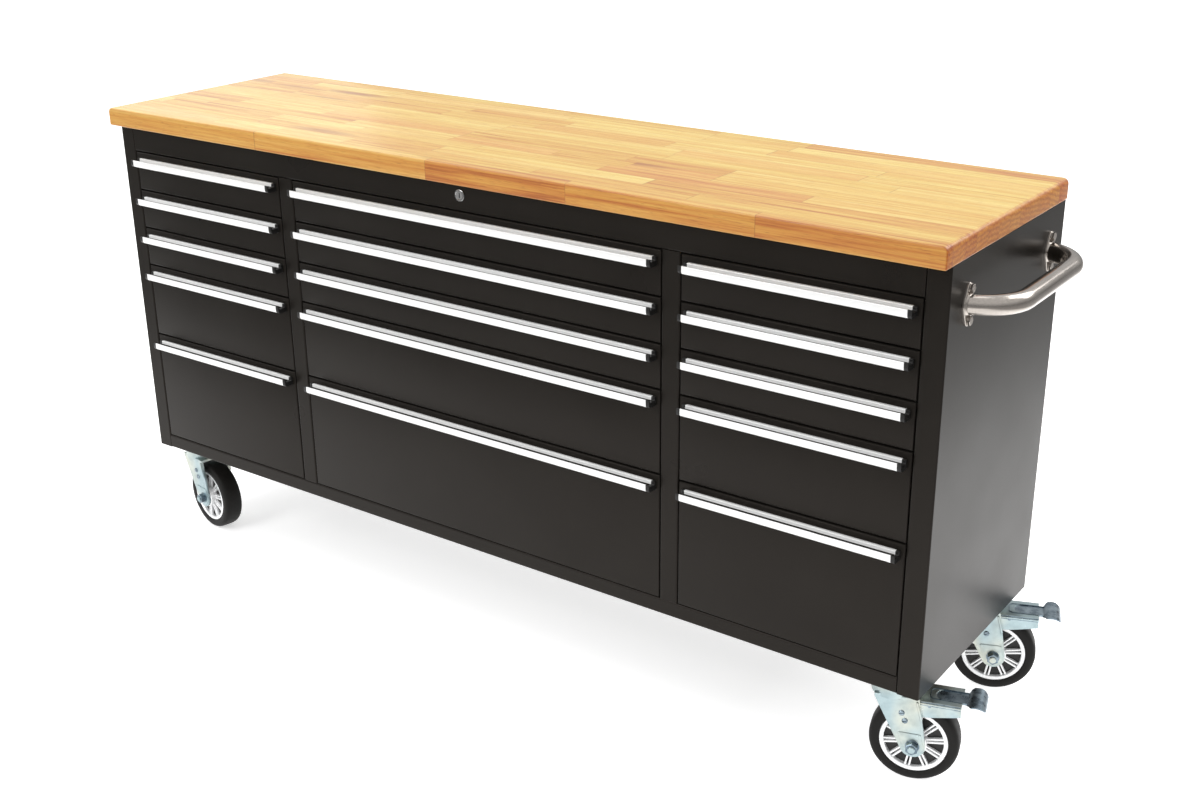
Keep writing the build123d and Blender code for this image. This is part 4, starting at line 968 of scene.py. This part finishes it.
for name, place in castors.items():
    coat_node(f"castor_fork_{name}", zinc_plate)
    for piece, shape, finish in (("fork_pressings", fork_pressings(), zinc_plate),
                                 ("fork_hardware", fork_hardware(), blue_zinc)):
        bmesh.ops.transform(shape, matrix=place, verts=shape.verts[:])
        show(f"{piece}_{name}", shape, f"fork_{name}", finish)
    pedal_node = f"brake_pedal_{name}"
    if pedal_node in frame["nodes"]:
        for piece, strip_low, strip_high, proud in HOOD_STRIPS:
            strip = hood_strip(strip_low, strip_high, proud)
            bmesh.ops.transform(strip, matrix=place, verts=strip.verts[:])
            # Painted shade: the strips below and above each lip take the dark finish to stand for the
            # shadowed grooves there.
            finish = zinc_plate if piece == "hood_lips" else blue_zinc
            show(f"{piece}_{name}", strip, f"fork_{name}", finish)
        pedal = pedal_shape()
        bmesh.ops.transform(pedal, matrix=place, verts=pedal.verts[:])
        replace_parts(show(f"pedal_{name}", pedal, f"brake_{name}", blue_zinc), pedal_node)


# Wheels: a bright moulded centre with a rounded ring, a hub and ten double spokes over a black
# web, and a solid rubber tyre with rounded shoulders moulded around it.

SPOKES, SPOKE_HALF, SPOKE_WIDTH, SPOKE_OFFSET = 10, 0.0172, 0.0034, 0.0023
SPOKE_START, SPOKE_END, SPOKE_LEAN = 0.0215, 0.0512, 1.3
HUB_SECTION = ((0.0066, 0.0280), (0.0200, 0.0280), (0.0225, 0.0262), (0.0232, 0.0180), (0.0240, 0.0110))
WEB_SECTION = ((0.0236, 0.0125), (0.0380, 0.0118), (0.0487, 0.0125))
TYRE_SECTION = ((0.0570, 0.0200), (0.0600, 0.0208), (0.0640, 0.0210), (0.0690, 0.0204),
                (0.0722, 0.0186), (0.0740, 0.0155), (0.0748, 0.0110), (0.0750, 0.0050))
RING_SECTION = ((0.0568, 0.0184), (0.0560, 0.0190), (0.0508, 0.0190), (0.0496, 0.0180), (0.0490, 0.0120))

rubber, tree, shader = new_finish("tyre_rubber", IOR=1.5, Specular_IOR_Level=0.16)
scuff = noise(tree, here(tree), 90.0, 4.0, 0.6)
colour = mixed(tree, graded(tree, scuff, 0.5, 0.8, 0.0, 0.5), (0.007, 0.0065, 0.006, 1),
               (0.016, 0.0145, 0.013, 1))
colour, dust = dusted(tree, colour, 0.06)
wired(shader, Base_Color=colour, Roughness=graded(tree, scuff, 0.3, 0.7, 0.46, 0.62),
      Normal=bumped(tree, scuff, 0.15, 0.0004))

rim_silver, tree, shader = new_finish("rim_silver", Metallic=0.35, Coat_Weight=0.6, Coat_Roughness=0.06)
fleck = noise(tree, here(tree), 300.0, 2.0)
wired(shader, Base_Color=mixed(tree, fleck, (0.80, 0.81, 0.82, 1), (0.92, 0.92, 0.92, 1)),
      Roughness=graded(tree, fleck, 0.3, 0.7, 0.16, 0.28))


def both_sides(half_section):
    """Closed section from one side's corners and the same corners on the other side."""
    return [*half_section, *((radius, -height) for radius, height in reversed(half_section))]


def wheel_centre():
    mesh = turned(both_sides(RING_SECTION), 80)
    joined(mesh, turned(both_sides(HUB_SECTION), 56))
    for index in range(SPOKES):
        turn = Matrix.Rotation(2 * math.pi * index / SPOKES, 4, "Z")
        for side in (-1, 1):
            spoke = bmesh.new()
            lean = Matrix.Rotation(side * math.radians(SPOKE_LEAN), 4, "Z")
            verts = block(spoke, (SPOKE_START, side * SPOKE_OFFSET - SPOKE_WIDTH / 2, -SPOKE_HALF),
                          (SPOKE_END, side * SPOKE_OFFSET + SPOKE_WIDTH / 2, SPOKE_HALF))
            along = [edge for edge in edges_of(verts)
                     if abs(edge.verts[0].co.x - edge.verts[1].co.x) > 1e-3]
            eased(spoke, along, 0.0010, 2)
            joined(mesh, spoke, turn @ lean)
    return mesh


for name, place in castors.items():
    axle = place @ Matrix.Translation((TRAIL, 0, WHEEL_RADIUS)) @ Matrix.Rotation(math.radians(90), 4, "X")
    spin = axle @ Matrix.Rotation(math.radians(9), 4, "Z")
    wheel = f"wheel_{name}"
    for piece, shape, finish, slot, node in (
            ("tyre", turned(both_sides(TYRE_SECTION), 120), rubber, "castor_tyre", f"castor_tyre_{name}"),
            ("wheel_centre", wheel_centre(), rim_silver, "castor_rim", f"castor_rim_{name}"),
            ("wheel_web", turned(both_sides(WEB_SECTION), 64), black_plastic, "castor_tyre", None)):
        bmesh.ops.transform(shape, matrix=spin, verts=shape.verts[:])
        shown = show(f"{piece}_{name}", shape, wheel, finish)
        if node:
            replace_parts(shown, node)
